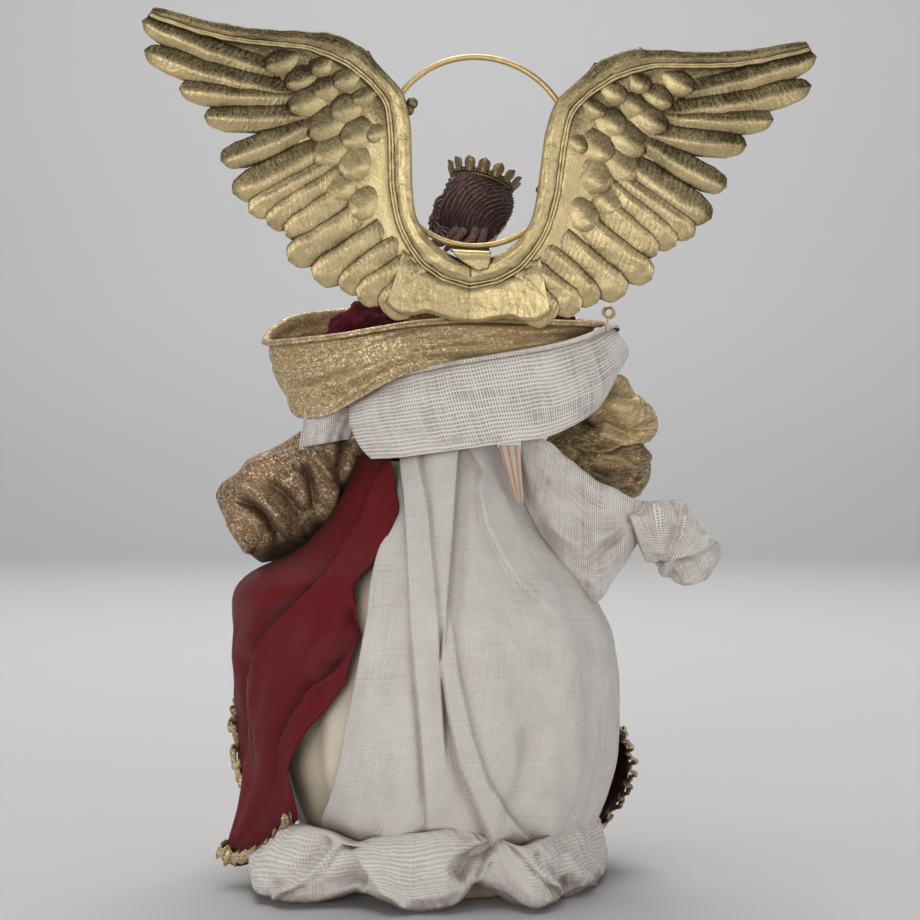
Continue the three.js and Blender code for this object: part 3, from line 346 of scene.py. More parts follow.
def velvetFinish():
    paint = Paint("maroonVelvet", {"Roughness": 0.9, "Sheen Weight": 0.25, "Sheen Roughness": 0.35,
                                   "Sheen Tint": (0.6, 0.08, 0.12, 1), "Specular IOR Level": 0.15})
    at = paint.place()
    cloud = paint.clamp(paint.noise(at, 110), 0.35, 0.7)
    paint.set(Base_Color=paint.mix(cloud, (0.025, 0.003, 0.007), (0.11, 0.008, 0.02)))
    paint.relief(paint.noise(at, 1400, 2), 0.0004, 0.7)
    return paint.material


def hairFinish():
    paint = Paint("auburnHair", {"Specular IOR Level": 0.4})
    at = paint.place()
    streak = paint.noise(at, 700)
    brushed = paint.clamp(paint.attribute("lift") + (streak - 0.5) * 0.7, 0.45, 1.0)
    paint.set(Base_Color=paint.mix(brushed, (0.04, 0.018, 0.018), (0.42, 0.25, 0.22)),
              Roughness=0.62 - brushed * 0.12)
    paint.relief(streak + paint.noise(at, 1500, 2) * 0.5, 0.0004, 0.6)
    return paint.material


def faceFinish():
    paint = Paint("paintedFace", {"Specular IOR Level": 0.4, "Roughness": 0.5})
    at = paint.place()
    skin = paint.mix(paint.noise(at, 60), (0.56, 0.31, 0.23), (0.68, 0.42, 0.32))
    skin = paint.mix(paint.attribute("cheek") * 0.5, skin, (0.6, 0.16, 0.13))
    skin = paint.mix(paint.attribute("lips") * 0.85, skin, (0.36, 0.07, 0.06))
    skin = paint.mix(paint.attribute("lash") * 0.9, skin, (0.05, 0.025, 0.02))
    paint.set(Base_Color=skin)
    paint.relief(paint.noise(at, 500, 2), 0.0003, 0.3)
    return paint.material


def stripeFinish():
    paint = Paint("stripedRibbon", {"Roughness": 0.6, "Specular IOR Level": 0.3})
    u = paint.split(paint.uv())[0]
    wide = paint.wave(u * 2400) * 0.5 + 0.5
    thin = paint.wave(u * 7200 + 1) * 0.5 + 0.5
    colour = paint.mix(paint.clamp(wide, 0.45, 0.6), (0.66, 0.56, 0.46), (0.52, 0.3, 0.23))
    colour = paint.mix(paint.clamp(thin, 0.6, 0.75) * 0.6, colour, (0.44, 0.32, 0.2))
    paint.set(Base_Color=colour)
    paint.relief(thin, 0.0003, 0.5)
    return paint.material


def plainFinish(name, first, second, roughness):
    paint = Paint(name, {"Roughness": roughness})
    cloud = paint.noise(paint.place(), 60, 4)
    paint.set(Base_Color=paint.mix(cloud, first, second))
    paint.relief(cloud, 0.0004, 0.4)
    return paint.material


finishes = {
    "bandGold": goldFinish("antiqueGold", (0.63, 0.505, 0.26), (0.05, 0.03, 0.01), worn=0.8),
    "featherGold": goldFinish("featherGold", (0.62, 0.495, 0.26), (0.05, 0.03, 0.01), barbs=True, worn=0.8),
    "wireGold": goldFinish("wireGold", (0.7, 0.53, 0.25), (0.25, 0.16, 0.06), worn=0.2),
    "crownBronze": goldFinish("crownBronze", (0.25, 0.19, 0.1), (0.03, 0.022, 0.013)),
    "velvet": velvetFinish(),
    "shawlGold": lameFinish("goldLame", (0.62, 0.46, 0.24), (0.4, 0.27, 0.12), (0.26, 0.165, 0.065)),
    "sleeveBronze": lameFinish("bronzeLame", (0.5, 0.32, 0.16), (0.27, 0.155, 0.07), (0.07, 0.035, 0.014), 0.7),
    "sleeveGold": lameFinish("paleLame", (0.76, 0.58, 0.29), (0.53, 0.39, 0.18), (0.16, 0.098, 0.042), 0.85,
                             0.00025),
    "cuffOlive": lameFinish("oliveLame", (0.47, 0.345, 0.16), (0.31, 0.215, 0.095), (0.07, 0.04, 0.015), 0.85,
                            0.00025),
    "gauze": wovenFinish("openGauze", (0.86, 0.82, 0.77), (0.43, 0.39, 0.35), 0.00115, 0.0005, 0.3, 1.7),
    "drapeGauze": wovenFinish("hangingGauze", (0.88, 0.84, 0.79), (0.42, 0.37, 0.32), 0.0011, 0.0005, 0.34,
                              1.7),
    "muslin": wovenFinish("fineMuslin", (0.84, 0.8, 0.755), (0.52, 0.475, 0.43), 0.00095, 0.0004, 0.24, 1.4,
                          tint=(0.7, 0.64, 0.6), recessShade=(0.17, 0.12, 0.09)),
    "creamSatin": satinFinish("creamSatin", (0.95, 0.84, 0.69), (0.5, 0.41, 0.31)),
    "redSatin": satinFinish("redSatin", (0.145, 0.009, 0.012), (0.03, 0.003, 0.005), 0.5, 0.18),
    "braid": lameFinish("goldBraid", (0.8, 0.62, 0.33), (0.45, 0.3, 0.13), (0.13, 0.06, 0.03), 0.45, 0.001),
    "ribbon": stripeFinish(),
    "hair": hairFinish(),
    "face": faceFinish(),
    "card": plainFinish("pressedCard", (0.3, 0.23, 0.16), (0.38, 0.3, 0.21), 0.9),
    "skin": plainFinish("paintedHands", (0.55, 0.31, 0.23), (0.66, 0.4, 0.3), 0.5),
}
print("finishes made")

view = {"at": (10, -900, 205), "lens": 70.43, "reach": 1800, "middle": 460}  # the last two in picture units
camera = bpy.data.objects.new("camera", bpy.data.cameras.new("camera"))
camera.data.lens, camera.data.sensor_width = view["lens"], 36
camera.location = np.array(view["at"]) * mm
camera.rotation_euler = (math.pi / 2, 0, 0)
scene.collection.objects.link(camera)
scene.camera = camera
scene.view_settings.view_transform = "Standard"

sweep = {"width": 7000, "near": -2200, "far": 2900, "bend": 900, "height": 3600}
lamps = [  # place and target in metres, size, power and colour
    ("key", (-1, -2.4, 0.3), (0, 0, 0.2), 1.3, 24, (1, 0.985, 0.96)),
    ("fill", (1.7, -1.9, 0.1), (0, 0, 0.2), 1.2, 15, (0.97, 0.98, 1)),
    ("top", (-0.4, -0.2, 2.6), (0, 0, 0.2), 1.6, 20, (1, 1, 1)),
    ("back", (0, 1.3, 2.4), (0, 1.7, 0), 1.6, 42, (1, 1, 1))]


def sweepPlace(u, v):
    flat = sweep["far"] - sweep["near"]
    arc = sweep["bend"] * np.pi / 2
    way = v * (flat + arc + sweep["height"])
    turn = np.clip((way - flat) / sweep["bend"], 0, np.pi / 2)
    y = sweep["near"] + np.minimum(way, flat) + sweep["bend"] * np.sin(turn)
    z = sweep["bend"] * (1 - np.cos(turn)) + np.maximum(way - flat - arc, 0)
    return stack((u - 0.5) * sweep["width"], y, z)


def makeStage():
    bm = bmesh.new()
    grid(bm, sweepPlace, 4, 80)
    mesh = bpy.data.meshes.new("paleSweep")
    bm.to_mesh(mesh)
    bm.free()
    sheet = bpy.data.objects.new("paleSweep", mesh)
    scene.collection.objects.link(sheet)
    paint = Paint("paleSweep", {"Roughness": 0.8, "Specular IOR Level": 0.15})
    _, depth, height = paint.split(paint.place())
    wall = paint.mix(paint.clamp(height, 0.2, 0.6), (0.63, 0.63, 0.635), (0.67, 0.667, 0.672))
    paint.set(Base_Color=paint.mix(paint.clamp(height, 0.0, 0.35), (0.61, 0.603, 0.6), wall))
    mesh.materials.append(paint.material)
    world = bpy.data.worlds.new("studio")
    scene.world = world
    world.use_nodes = True
    nodes, links = world.node_tree.nodes, world.node_tree.links
    kinds = "TexCoord", "SeparateXYZ", "ValToRGB"
    coordinates, apart, ramp = (nodes.new("ShaderNode" + kind) for kind in kinds)
    links.new(coordinates.outputs["Generated"], apart.inputs[0])
    links.new(apart.outputs["Z"], ramp.inputs[0])
    greys = (0.08, (1, 1, 1, 1)), (0.5, (0.14, 0.14, 0.145, 1))  # bright below and dim above
    for stop, (position, grey) in zip(ramp.color_ramp.elements, greys):
        stop.position, stop.color = position, grey
    links.new(ramp.outputs["Color"], nodes["Background"].inputs["Color"])
    nodes["Background"].inputs["Strength"].default_value = 0.8
    for name, place, target, size, power, colour in lamps:
        lamp = bpy.data.lights.new(name, "AREA")
        lamp.size, lamp.energy, lamp.color = size, power, colour
        holder = bpy.data.objects.new(name, lamp)
        holder.location = place
        x, y, z = aim = np.subtract(target, place)
        holder.rotation_euler = (math.acos(-z / np.linalg.norm(aim)), 0, math.atan2(y, x) - math.pi / 2)
        scene.collection.objects.link(holder)


makeStage()
print("stage ready")

wings = {"span": 162, "rise": 132, "sweep": 5, "roll": 3, "seat": (14.3, -44, 281.4), "seam": 0.5,
         "bow": 0.035, "bead": 0.85, "beadDepth": 2.5, "feather": 3.2, "covert": 3.9, "longer": 0.25,
         "wider": 0.38}
leadLine = [
    (0.95, 0.965), (0.85, 0.945), (0.75, 0.925), (0.64, 0.917), (0.53, 0.917), (0.43, 0.917), (0.345, 0.87),
    (0.285, 0.8), (0.23, 0.735), (0.2, 0.63), (0.19, 0.51), (0.182, 0.38), (0.165, 0.28), (0.125, 0.21),
    (0.06, 0.155), (-0.02, 0.137)]
beadLine = [
    (0.97, 0.935), (0.85, 0.893), (0.735, 0.867), (0.62, 0.86), (0.525, 0.856), (0.44, 0.83), (0.37, 0.79),
    (0.315, 0.735), (0.275, 0.675), (0.26, 0.575), (0.253, 0.47), (0.244, 0.364), (0.216, 0.242), (0.16, 0.13),
    (0.08, 0.064), (-0.02, 0.038)]
rootLine = [
    (0.93, 0.93), (0.84, 0.875), (0.75, 0.84), (0.66, 0.815), (0.6, 0.765), (0.575, 0.68), (0.56, 0.6),
    (0.54, 0.5), (0.5, 0.42), (0.47, 0.35), (0.43, 0.29), (0.4, 0.2), (0.36, 0.13), (0.27, 0.06),
    (0.12, 0), (-0.02, -0.07)]
longFeathers = [  # root across and up, tip across and up, width
    (0.6, 0.775, 0.99, 0.915, 0.078), (0.55, 0.7, 0.98, 0.812, 0.08), (0.53, 0.69, 0.874, 0.685, 0.078),
    (0.5, 0.625, 0.798, 0.592, 0.078), (0.47, 0.61, 0.744, 0.437, 0.082), (0.42, 0.54, 0.704, 0.325, 0.1),
    (0.4, 0.47, 0.655, 0.262, 0.088), (0.38, 0.43, 0.6, 0.222, 0.088), (0.35, 0.38, 0.545, 0.185, 0.092),
    (0.31, 0.3, 0.534, 0.098, 0.1), (0.26, 0.23, 0.457, 0.038, 0.1), (0.2, 0.2, 0.377, 0.008, 0.096),
    (0.15, 0.14, 0.327, -0.023, 0.098), (0.1, 0.11, 0.253, -0.06, 0.12)]
plateTop = [(0.2, 0.17), (0.16, 0.12), (0.11, 0.085), (0.05, 0.06), (-0.02, 0.045)]
plateEdge = [(0.242, -0.042), (0.203, -0.071), (0.162, -0.072), (0.124, -0.06), (0.083, -0.07), (0.038, -0.081),
             (-0.02, -0.085)]
coverts = [
    (0.541, 0.83, 0.632, 0.772, 0.062), (0.486, 0.765, 0.569, 0.715, 0.064), (0.449, 0.71, 0.556, 0.625, 0.082),
    (0.39, 0.625, 0.495, 0.545, 0.088), (0.38, 0.53, 0.477, 0.45, 0.088), (0.323, 0.49, 0.39, 0.4, 0.09),
    (0.431, 0.83, 0.499, 0.768, 0.062), (0.415, 0.74, 0.492, 0.685, 0.066), (0.336, 0.81, 0.433, 0.722, 0.072),
    (0.343, 0.685, 0.434, 0.61, 0.078), (0.287, 0.735, 0.378, 0.668, 0.06), (0.31, 0.6, 0.401, 0.515, 0.084),
    (0.36, 0.405, 0.427, 0.318, 0.078), (0.29, 0.35, 0.361, 0.265, 0.074), (0.26, 0.6, 0.326, 0.545, 0.06)]


def inPattern(row):
    return np.array(row, float) * [wings["span"], wings["rise"]]


def featherPlace(row, tall, longOne):
    root, tip, wide = inPattern(row[:2]), inPattern(row[2:4]), row[4] * wings["span"] / 2
    along = tip - root
    across = np.array([-along[1], along[0]]) / np.hypot(*along)
    spread = stepUp(row[2], 0.62, 0.72)  # 1 for the free feathers above, 0 for the stepped ones below
    ridge = 0.55 - 0.75 * spread

    def place(u, v):
        side, face = np.cos(2 * np.pi * u), np.sin(2 * np.pi * u)
        if longOne:
            outline = table([(0, 0.8), (0.5, 1.04), (0.8, 1), (0.92, 0.78), (1, 0.5)], v)
            outline = outline * np.sqrt(1 - inside((v - 0.93) / 0.07) ** 2)
            slope = np.where(side > ridge, (1 - side) / (1 - ridge), (1 + side) / (1 + ridge))
            crest = 0.75 * slope + 0.25 * np.sqrt(inside(1 - side ** 2))
            crest = crest + (1 - spread) * 0.3 * np.exp(-((side - 0.86) / 0.1) ** 2)
            swell = table([(0, 0.5), (0.35, 1), (0.8, 0.9), (1, 0.25)], v)
            edge = 0.6 * inside(np.abs(face) * 3)
            lean = (0.9 - 0.3 * spread) * side * table([(0, 0.3), (0.4, 1), (1, 0.8)], v)
        else:
            outline = table([(0, 0.7), (0.45, 1.1), (1, 1.05)], v)
            outline = outline * np.sqrt(1 - inside(2 * v - 1) ** 2)
            crest = 0.6 * inside(1 - side ** 2) ** 0.8 + 0.4 * inside(1 + side) * inside(1 - side)
            swell = table([(0, 0.25), (0.3, 0.62), (0.62, 0.92), (0.8, 1), (0.93, 0.8), (1, 0.35)], v)
            edge, lean = 0, 0.9 * side
        bend = -wings["bow"] * 4 * v * (1 - v) * np.hypot(*along)
        flat = root + np.outer(v, along) + np.outer(bend + side * wide * outline, across)
        depth = -np.sign(face) * (tall * crest * swell + edge * swell) - lean
        return stack(flat[:, 0], depth, flat[:, 1])

    def paintedShade(turn, v):  # painted shade on the upper halves and at the roots, and darker along the tips
        side = math.cos(2 * math.pi * turn)
        if not longOne:
            upper = inside((side + 0.25) / 0.6) * (0.35 + 0.5 * stepUp(row[1], 0.5, 0.68))
            return upper + 0.25 * stepUp(0.4 - v, 0, 0.4)
        upper = inside((side - ridge + 0.1) / 0.5) * (0.3 + 0.5 * spread)
        return np.clip(upper + 0.5 * stepUp(v, 0.9, 1) * spread + 0.45 * stepUp(0.3 - v, 0, 0.3), 0, 0.85)
    return place, np.hypot(*along), wide, paintedShade


def bandPlace(fromLine, toLine, heights, overlap=0.0):
    def place(u, v):
        share = fromRim(u) * (1 + overlap) - overlap
        a, b = spline([inPattern(p) for p in fromLine], v), spline([inPattern(p) for p in toLine], v)
        flat = a + (b - a) * share[:, None]
        rim = inside(np.minimum(u % 0.5, 0.5 - u % 0.5) * 2 / 0.07)
        depth = table(heights, share) * np.sqrt(1 - (1 - rim) ** 2)
        return stack(flat[:, 0], np.where(u < 0.5, -depth, depth), flat[:, 1])
    return place


def inBackSet(p):  # tilted as the wings and the ring are, and set on the back
    roll = np.radians(wings["roll"])
    x, y, z = p.T
    turned = stack(x * np.cos(roll) + z * np.sin(roll), y, z * np.cos(roll) - x * np.sin(roll))
    return turned + wings["seat"]


def intoPlace(p, side):  # from the flat pattern to the figure's back
    sweepBy = np.radians(wings["sweep"])
    across, depth, up = p.T
    return inBackSet(stack(side * (across * np.cos(sweepBy) + depth * np.sin(sweepBy)),
                           depth * np.cos(sweepBy) - across * np.sin(sweepBy), up))


def paintShade(made, layers, paintedShade, onMap):  # the painted shade by the place on the patch, then the patch's map in metres
    shadeLayer, uvMap = layers
    for face in facesOf(made):
        for corner in face.loops:
            turn, along = corner[uvMap].uv
            corner.vert[shadeLayer] = float(paintedShade(turn, along))
            corner[uvMap].uv = onMap(turn, along)


def fromRim(turn):  # 0 at a band's first edge and 1 at its second, on both faces
    return 1 - abs(1 - 2 * turn)


bandHeights = [(0, 2.4), (0.12, 3.6), (0.34, 4.4), (0.6, 3.9), (0.78, 2.7), (0.86, 2.3), (1, 2.5)]
webHeights = [(-1, 2.4), (0.06, 2.4), (0.3, 1.3), (1, 0.8)]
plateHeights = [(0, 2.2), (0.2, 3.5), (1, 3.9)]
nubs = {-1: [(0.197, 0.69, 2.8), (0.205, 0.665, 2.4)], 1: [(0.464, 0.915, 1.6), (0.19, 0.404, 1.9)]}


def makeWing(name, side):
    bm = bmesh.new()
    # a layer of painted shade, read by the gold finish
    shadeLayer = bm.verts.layers.float.new("paintedShade")
    layers = shadeLayer, bm.loops.layers.uv.verify()
    # the band: painted shade on its outer half along its upper stretch
    paintShade(grid(bm, bandPlace(leadLine, beadLine, bandHeights), 60, 150), layers, lambda turn, along:
           0.85 * stepUp(0.8 - fromRim(turn), 0, 0.4) * stepUp(0.6 - along, 0, 0.2),
           lambda turn, along: (fromRim(turn) * 0.02, along * 0.3))
    # the web: painted shade on its upper part
    for vert in grid(bm, bandPlace(beadLine, rootLine, webHeights, 0.1), 24, 60, 0.03, 0.3):
        vert[shadeLayer] = float(0.65 * stepUp(vert.co.z / wings["rise"] / mm, 0.5, 0.72))
    grid(bm, bandPlace(plateTop, plateEdge, plateHeights), 40, 60, 0.03, 0.08)
    for share in (0.87, 1.0):
        line = [inPattern(a) * (1 - share) + inPattern(b) * share for a, b in zip(leadLine, beadLine)]
        for face in (-1, 1):
            tube(bm, [(x, face * wings["beadDepth"], z) for x, z in line],
                 lambda v: wings["bead"] * (1 + 0.12 * np.sin(v * 170)), 8, 150)
    for row in longFeathers:
        place, long, wide, paintedShade = featherPlace(row, wings["feather"], True)
        paintShade(grid(bm, place, 32, 30, material=1), layers, paintedShade,
               lambda turn, down: (down * long * mm, math.cos(2 * math.pi * turn) * wide * mm))
    for row in coverts:
        root, tip, wide = np.array(row[:2]), np.array(row[2:4]), row[4]
        row = *(root + wings["longer"] * (root - tip)), *tip, wide * (1 + wings["wider"])
        place, long, _, paintedShade = featherPlace(row, wings["covert"], False)
        paintShade(grid(bm, place, 28, 22), layers, paintedShade, lambda turn, down: (turn * 0.01, down * long * mm))
    for across, up, big in nubs[side]:
        x, z = inPattern((across, up)) * mm
        for vert in bmesh.ops.create_uvsphere(bm, u_segments=12, v_segments=8, radius=big * mm)["verts"]:
            vert.co += Vector((x, 0, z))
            vert[shadeLayer] = 0.7
    bmesh.ops.remove_doubles(bm, verts=bm.verts, dist=weld)
    seam = (wings["seam"] / 2 * mm, 0, 0)
    cut = bmesh.ops.bisect_plane(bm, geom=bm.verts[:] + bm.edges[:] + bm.faces[:], dist=sliver, plane_co=seam,
                                 plane_no=(1, 0, 0), clear_inner=True)
    bmesh.ops.holes_fill(bm, edges=[e for e in cut["geom_cut"] if isinstance(e, bmesh.types.BMEdge)], sides=0)
    points = np.array([v.co[:] for v in bm.verts]) / mm
    points[:, 1] += unevenness(points, 9, 4) * 0.25 + unevenness(points, 4, 5) * 0.12
    points[:, 2] += unevenness(points, 14, 6) * 0.3
    if side > 0:
        points[:, 0] *= 1 - 0.02 * stepUp(points[:, 0], 40, 150)
    for vert, co in zip(bm.verts, intoPlace(points, side) * mm):
        vert.co = co
    for face in bm.faces:
        face.smooth = True
    keep(bm, name, "bandGold featherGold", "antique_gold")


makeWing("leftWing", -1)
makeWing("rightWing", 1)
print("wings ready")

halo = {"radius": 45.3, "wire": 1.45, "height": 71.6, "depth": 6.5,
        "strapRoom": 1.35, "strapDepth": 6, "strap": 0.9,
        "strapLeft": [(0, 9), (0.55, 10), (0.7, 8), (0.82, 4), (0.94, -1), (1, -3)],
        "strapRight": [(0, 8), (0.55, 9.5), (0.8, 9), (1, 7.5)]}


def ringPlace(centre, radius, wire, unevenBy=0.0):
    def place(u, v):
        turn, across = 2 * np.pi * v, 2 * np.pi * u
        far = radius + wire * np.cos(across) + unevenBy * np.sin(turn * 3 + 1)
        return np.array(centre) + stack(far * np.cos(turn), wire * np.sin(across), far * np.sin(turn))
    return place


def makeHalo():
    bm = bmesh.new()
    ring = ringPlace((0, halo["depth"], halo["height"]), halo["radius"], halo["wire"], 0.35)
    grid(bm, lambda u, v: inBackSet(ring(u, v)), 14, 160)
    keep(bm, "haloRing", "wireGold", "gold_wire")
    foot, depth, face = halo["height"] - halo["radius"], halo["depth"], -halo["strapDepth"]
    room = halo["wire"] + halo["strapRoom"]
    route = [(0, depth + room, foot + room * 0.3), (0, depth + room * 0.9, foot - room * 0.5),
             (0, depth - room * 0.3, foot - room * 1.1), (0, face, foot - room * 1.5),
             (0, face, foot - room * 3), (0, face + 0.3, foot - room * 4.4)]

    def leaf(u, v):
        middle = spline(route, v)
        left, right = table(halo["strapLeft"], v), table(halo["strapRight"], v)
        side = u * 2 - 1
        return inBackSet(stack(u * (left + right) - left, middle[:, 1] + 0.5 * side ** 2 * stepUp(v, 0.45, 0.8),
                               middle[:, 2] + 0.5 * np.sin(side * 3) * stepUp(v, 0.5, 1)))

    bm = bmesh.new()
    grid(bm, leaf, 16, 60)
    giveWall(keep(bm, "haloClasp", "bandGold", "gold_wire", closed=False), halo["strap"])


makeHalo()
print("halo ready")


def seen(p):  # where the camera sees a place
    across, depth, up = (p - view["at"]).T
    far = depth / view["reach"]
    return stack(view["middle"] + across / far, view["middle"] - up / far)


def fromLine(q, line):  # distance to a drawn line, negative at its left, and the share along it
    best, along = np.full(len(q), 1e9), np.zeros(len(q))
    for k, (a, b) in enumerate(zip(line, line[1:])):
        a, way = np.array(a, float), np.subtract(b, a).astype(float)
        t = inside((q - a) @ way / (way @ way))
        gap = q - a - t[:, None] * way
        far = np.hypot(*gap.T) * np.where(way[1] * gap[:, 0] > way[0] * gap[:, 1], 1, -1)
        closer = np.abs(far) < np.abs(best)
        best, along = np.where(closer, far, best), np.where(closer, (k + t) / (len(line) - 1), along)
    return best, along


def drawnFolds(p, rows):  # line, width, sharpness (0 for a round fold) and height
    q, total = seen(p), 0
    for line, wide, sharp, tall in rows:
        far, along = fromLine(q, line)
        taper = np.clip(np.minimum(along, 1 - along) / 0.12 + 0.15, 0, 1)
        form = -np.tanh(far / sharp) * np.exp(-np.abs(far) / wide) if sharp else np.exp(-(far / wide) ** 2)
        total = total + tall * taper * form
    return total * stepUp(-p[:, 1], -15, 15)


def outward(p, amount, centre=0):
    way = stack(p[:, 0] - centre, p[:, 1], 0 * p[:, 0])
    return p + unit(way) * np.reshape(amount, (-1, 1))


skirt = {"waist": 205, "radius": 88, "shift": 3, "top": 204.2, "foot": 22, "swing": 110, "middle": 2,
         "redFrom": -263, "redRound": 211, "muslinEnd": 94}
bell = [(0, 0.8), (0.12, 0.86), (0.18, 0.93), (0.3, 1), (0.48, 1), (0.58, 0.965), (0.64, 0.89), (0.68, 0.82),
        (0.74, 0.73), (0.84, 0.54), (0.96, 0.385), (1, 0.33)]
tuck = [(0, 0.99), (0.12, 0.975), (0.2, 0.99), (0.3, 1)]
muslinEdge = [(0, -45), (0.17, -44), (0.25, -36), (0.31, -32), (0.39, -30), (0.49, -27), (0.56, -25.5),
              (0.62, -25.5), (0.77, -33.5), (0.9, -37), (1, -51)]
muslinTop = [(-45, 206), (0, 213), (30, 217), (50, 213), (94, 205)]
redEdge = [(0, -50), (0.17, -47.5), (0.25, -47.5), (0.29, -49), (0.34, -46), (0.4, -41.5), (0.435, -37),
           (0.5, -30.5), (0.6, -27), (0.64, -29.5), (0.68, -33.5), (0.72, -36), (0.77, -33),
           (0.885, -31), (1, -48)]
redLeft = [(0, 1), (0.05, 1), (0.2, 0.945), (0.36, 0.92), (0.47, 0.935), (0.62, 0.965), (0.68, 0.965),
           (0.725, 0.9), (0.755, 0.76), (0.78, 0.65), (0.83, 0.56), (0.87, 0.52), (0.92, 0.48), (1, 0.41)]
redHem = [(-263, 0.07), (-255, 0.09), (-240, 0.34), (-200, 0.45), (-160, 0.45), (-125, 0.42), (-108, 0.4),
          (-100, 0.385), (-95, 0.34), (-91, 0.24), (-86, 0.195), (-82, 0.19), (-78, 0.1), (-75, 0.06),
          (-70, 0.05), (-62, 0.08), (-52, 0.185)]
redZig = [(-120, 0), (-101, 1), (-95, -2), (-91, 2), (-86, 12), (-82, 19), (-78, 5), (-75, -5), (-70, -3),
          (-60, 0)]


def bellRadius(height):
    return skirt["radius"] * softTable(bell, height / skirt["waist"], 0.03)


def skirtPlace(angle, height, radius):
    return around(angle, radius, radius, height, skirt["shift"] * inside(height / skirt["waist"]))


def folds(angle, share, rows):  # angle at the waist, the middle and the hem, width and height
    total = 0
    for top, middle, foot, width, tall in rows:
        lower, upper = foot + (middle - foot) * share * 2, middle + (top - middle) * (share * 2 - 1)
        line = np.where(share > 0.5, upper, lower)
        total = total + tall * bump(angle - line, width)
    return total * 4.5 * np.clip(1.15 - share, 0.2, 1)


def underskirtPlace(u, v):
    height = 1 + v * (skirt["top"] - 1)
    share = height / skirt["waist"]
    turn = 2 * np.pi * u
    waves = 1.1 * np.cos(12 * turn) + 0.9 * np.sin(19 * turn + 3 * share) + 0.6 * np.cos(31 * turn + 5 * share)
    behind = stepUp(np.abs((360 * u + 152) % 360 - 180), 60, 75)  # smoother where the muslin covers it
    radius = (bellRadius(height) - 3.3 - 1.5 * (1 - share) - 1.8 * (1 - behind)) * table(tuck, share)
    return skirtPlace(360 * u, height, radius + waves * inside(1.2 - share) * (0.3 + 0.7 * behind))


pleatRows = [(-43, -17, -12, 9, 0.4), (22, 12, 22, 14, 0.5), (48, 36, 44, 18, 0.7), (70, 64, 68, 16, 0.6)]
pleatLines = [  # line in the picture, width, sharpness, height
    ([(399, 445), (402, 461), (407, 533), (411, 635), (415, 680), (422, 751), (427, 840)], 9, 1.1, -2.6),
    ([(416, 445), (419, 461), (428, 506), (437, 604), (440, 649), (443, 700), (446, 760)], 7, 1.1, 2.2),
    ([(459, 445), (458, 455), (453, 533), (447, 611), (443, 660)], 11, 1.2, 3.4),
    ([(409, 445), (412, 500), (421, 600), (427, 700), (436, 840)], 6, 0, 1.2),
    ([(438, 445), (441, 520), (443, 600)], 10, 0, 1.6),
    ([(468, 445), (464, 500), (458, 580), (450, 650)], 8, 0, -3.0),
    ([(470, 450), (482, 468), (478, 490), (484, 524), (500, 556), (518, 586), (548, 612)], 9, 1.6, -2.6),
    ([(447, 605), (441, 667), (447, 711), (458, 764), (480, 817), (492, 850)], 13, 1.2, -3.6),
    ([(450, 600), (458, 667), (471, 730), (487, 780), (510, 814), (536, 850)], 9, 1.6, 2.4),
    ([(486, 640), (500, 700), (518, 760), (540, 800)], 16, 0, 1.8),
    ([(540, 570), (560, 620), (575, 700), (580, 790)], 22, 0, 1.8),
    ([(532, 720), (522, 785), (503, 822)], 10, 0, -3.2),
    ([(344, 800), (360, 740), (374, 660), (386, 560)], 12, 0, 1.4),
    ([(384, 820), (392, 740), (398, 640), (397, 540)], 9, 0, -1.4),
]


def muslinPlace(u, v):
    top = skirt["foot"] + v * (skirt["top"] - skirt["foot"])
    low = softTable(muslinEdge, top / skirt["waist"], 0.02)
    angle = low + u * (skirt["muslinEnd"] - low)
    height = skirt["foot"] + v * (table(muslinTop, angle) - skirt["foot"])
    share = height / skirt["waist"]
    p = skirtPlace(angle, height, bellRadius(height))
    rough = unevenness(p * [1, 1, 0.35], 26, 31) * 0.8 + unevenness(p * [1, 1, 0.35], 10, 32) * 0.25
    rise = folds(angle, share, pleatRows) - 0.4 + drawnFolds(p, pleatLines)
    rise = rise + rough * np.clip(1.3 - share, 0.3, 1)
    return outward(p, np.where(rise < -3, -3 + 2 * np.tanh((rise + 3) / 2.5), rise), skirt["middle"])


redRows = [(-110, -112, -114, 18, 0.9), (-140, -142, -143, 16, 0.8), (-170, -172, -170, 18, 0.8),
           (-200, -202, -204, 16, 0.8), (-230, -233, -234, 16, 0.8), (-250, -254, -256, 10, 0.8)]
redLines = [
    ([(388, 455), (366, 520), (330, 570), (297, 605), (280, 620), (264, 641), (255, 676), (252, 710),
      (256, 760)], 15, 1.3, -4.2),
    ([(352, 600), (362, 636), (342, 664), (312, 690), (293, 718), (281, 745), (277, 800)], 11, 1.3, -2.8),
    ([(320, 600), (292, 640), (277, 680), (271, 730), (264, 790)], 13, 0, 2.2),
    ([(352, 560), (345, 610), (318, 650), (300, 690)], 12, 0, 2.6),
    ([(340, 520), (300, 565), (262, 610), (244, 660), (241, 720)], 14, 0, 3.0),
    ([(322, 672), (306, 712), (298, 760), (292, 815)], 8, 0, 2.0),
    ([(384, 470), (368, 515), (345, 552)], 8, 0, 1.8),
    ([(246, 650), (248, 700), (244, 740)], 5, 0, -2.5),
    ([(258, 790), (250, 815), (238, 840)], 5, 0, 1.5),
]


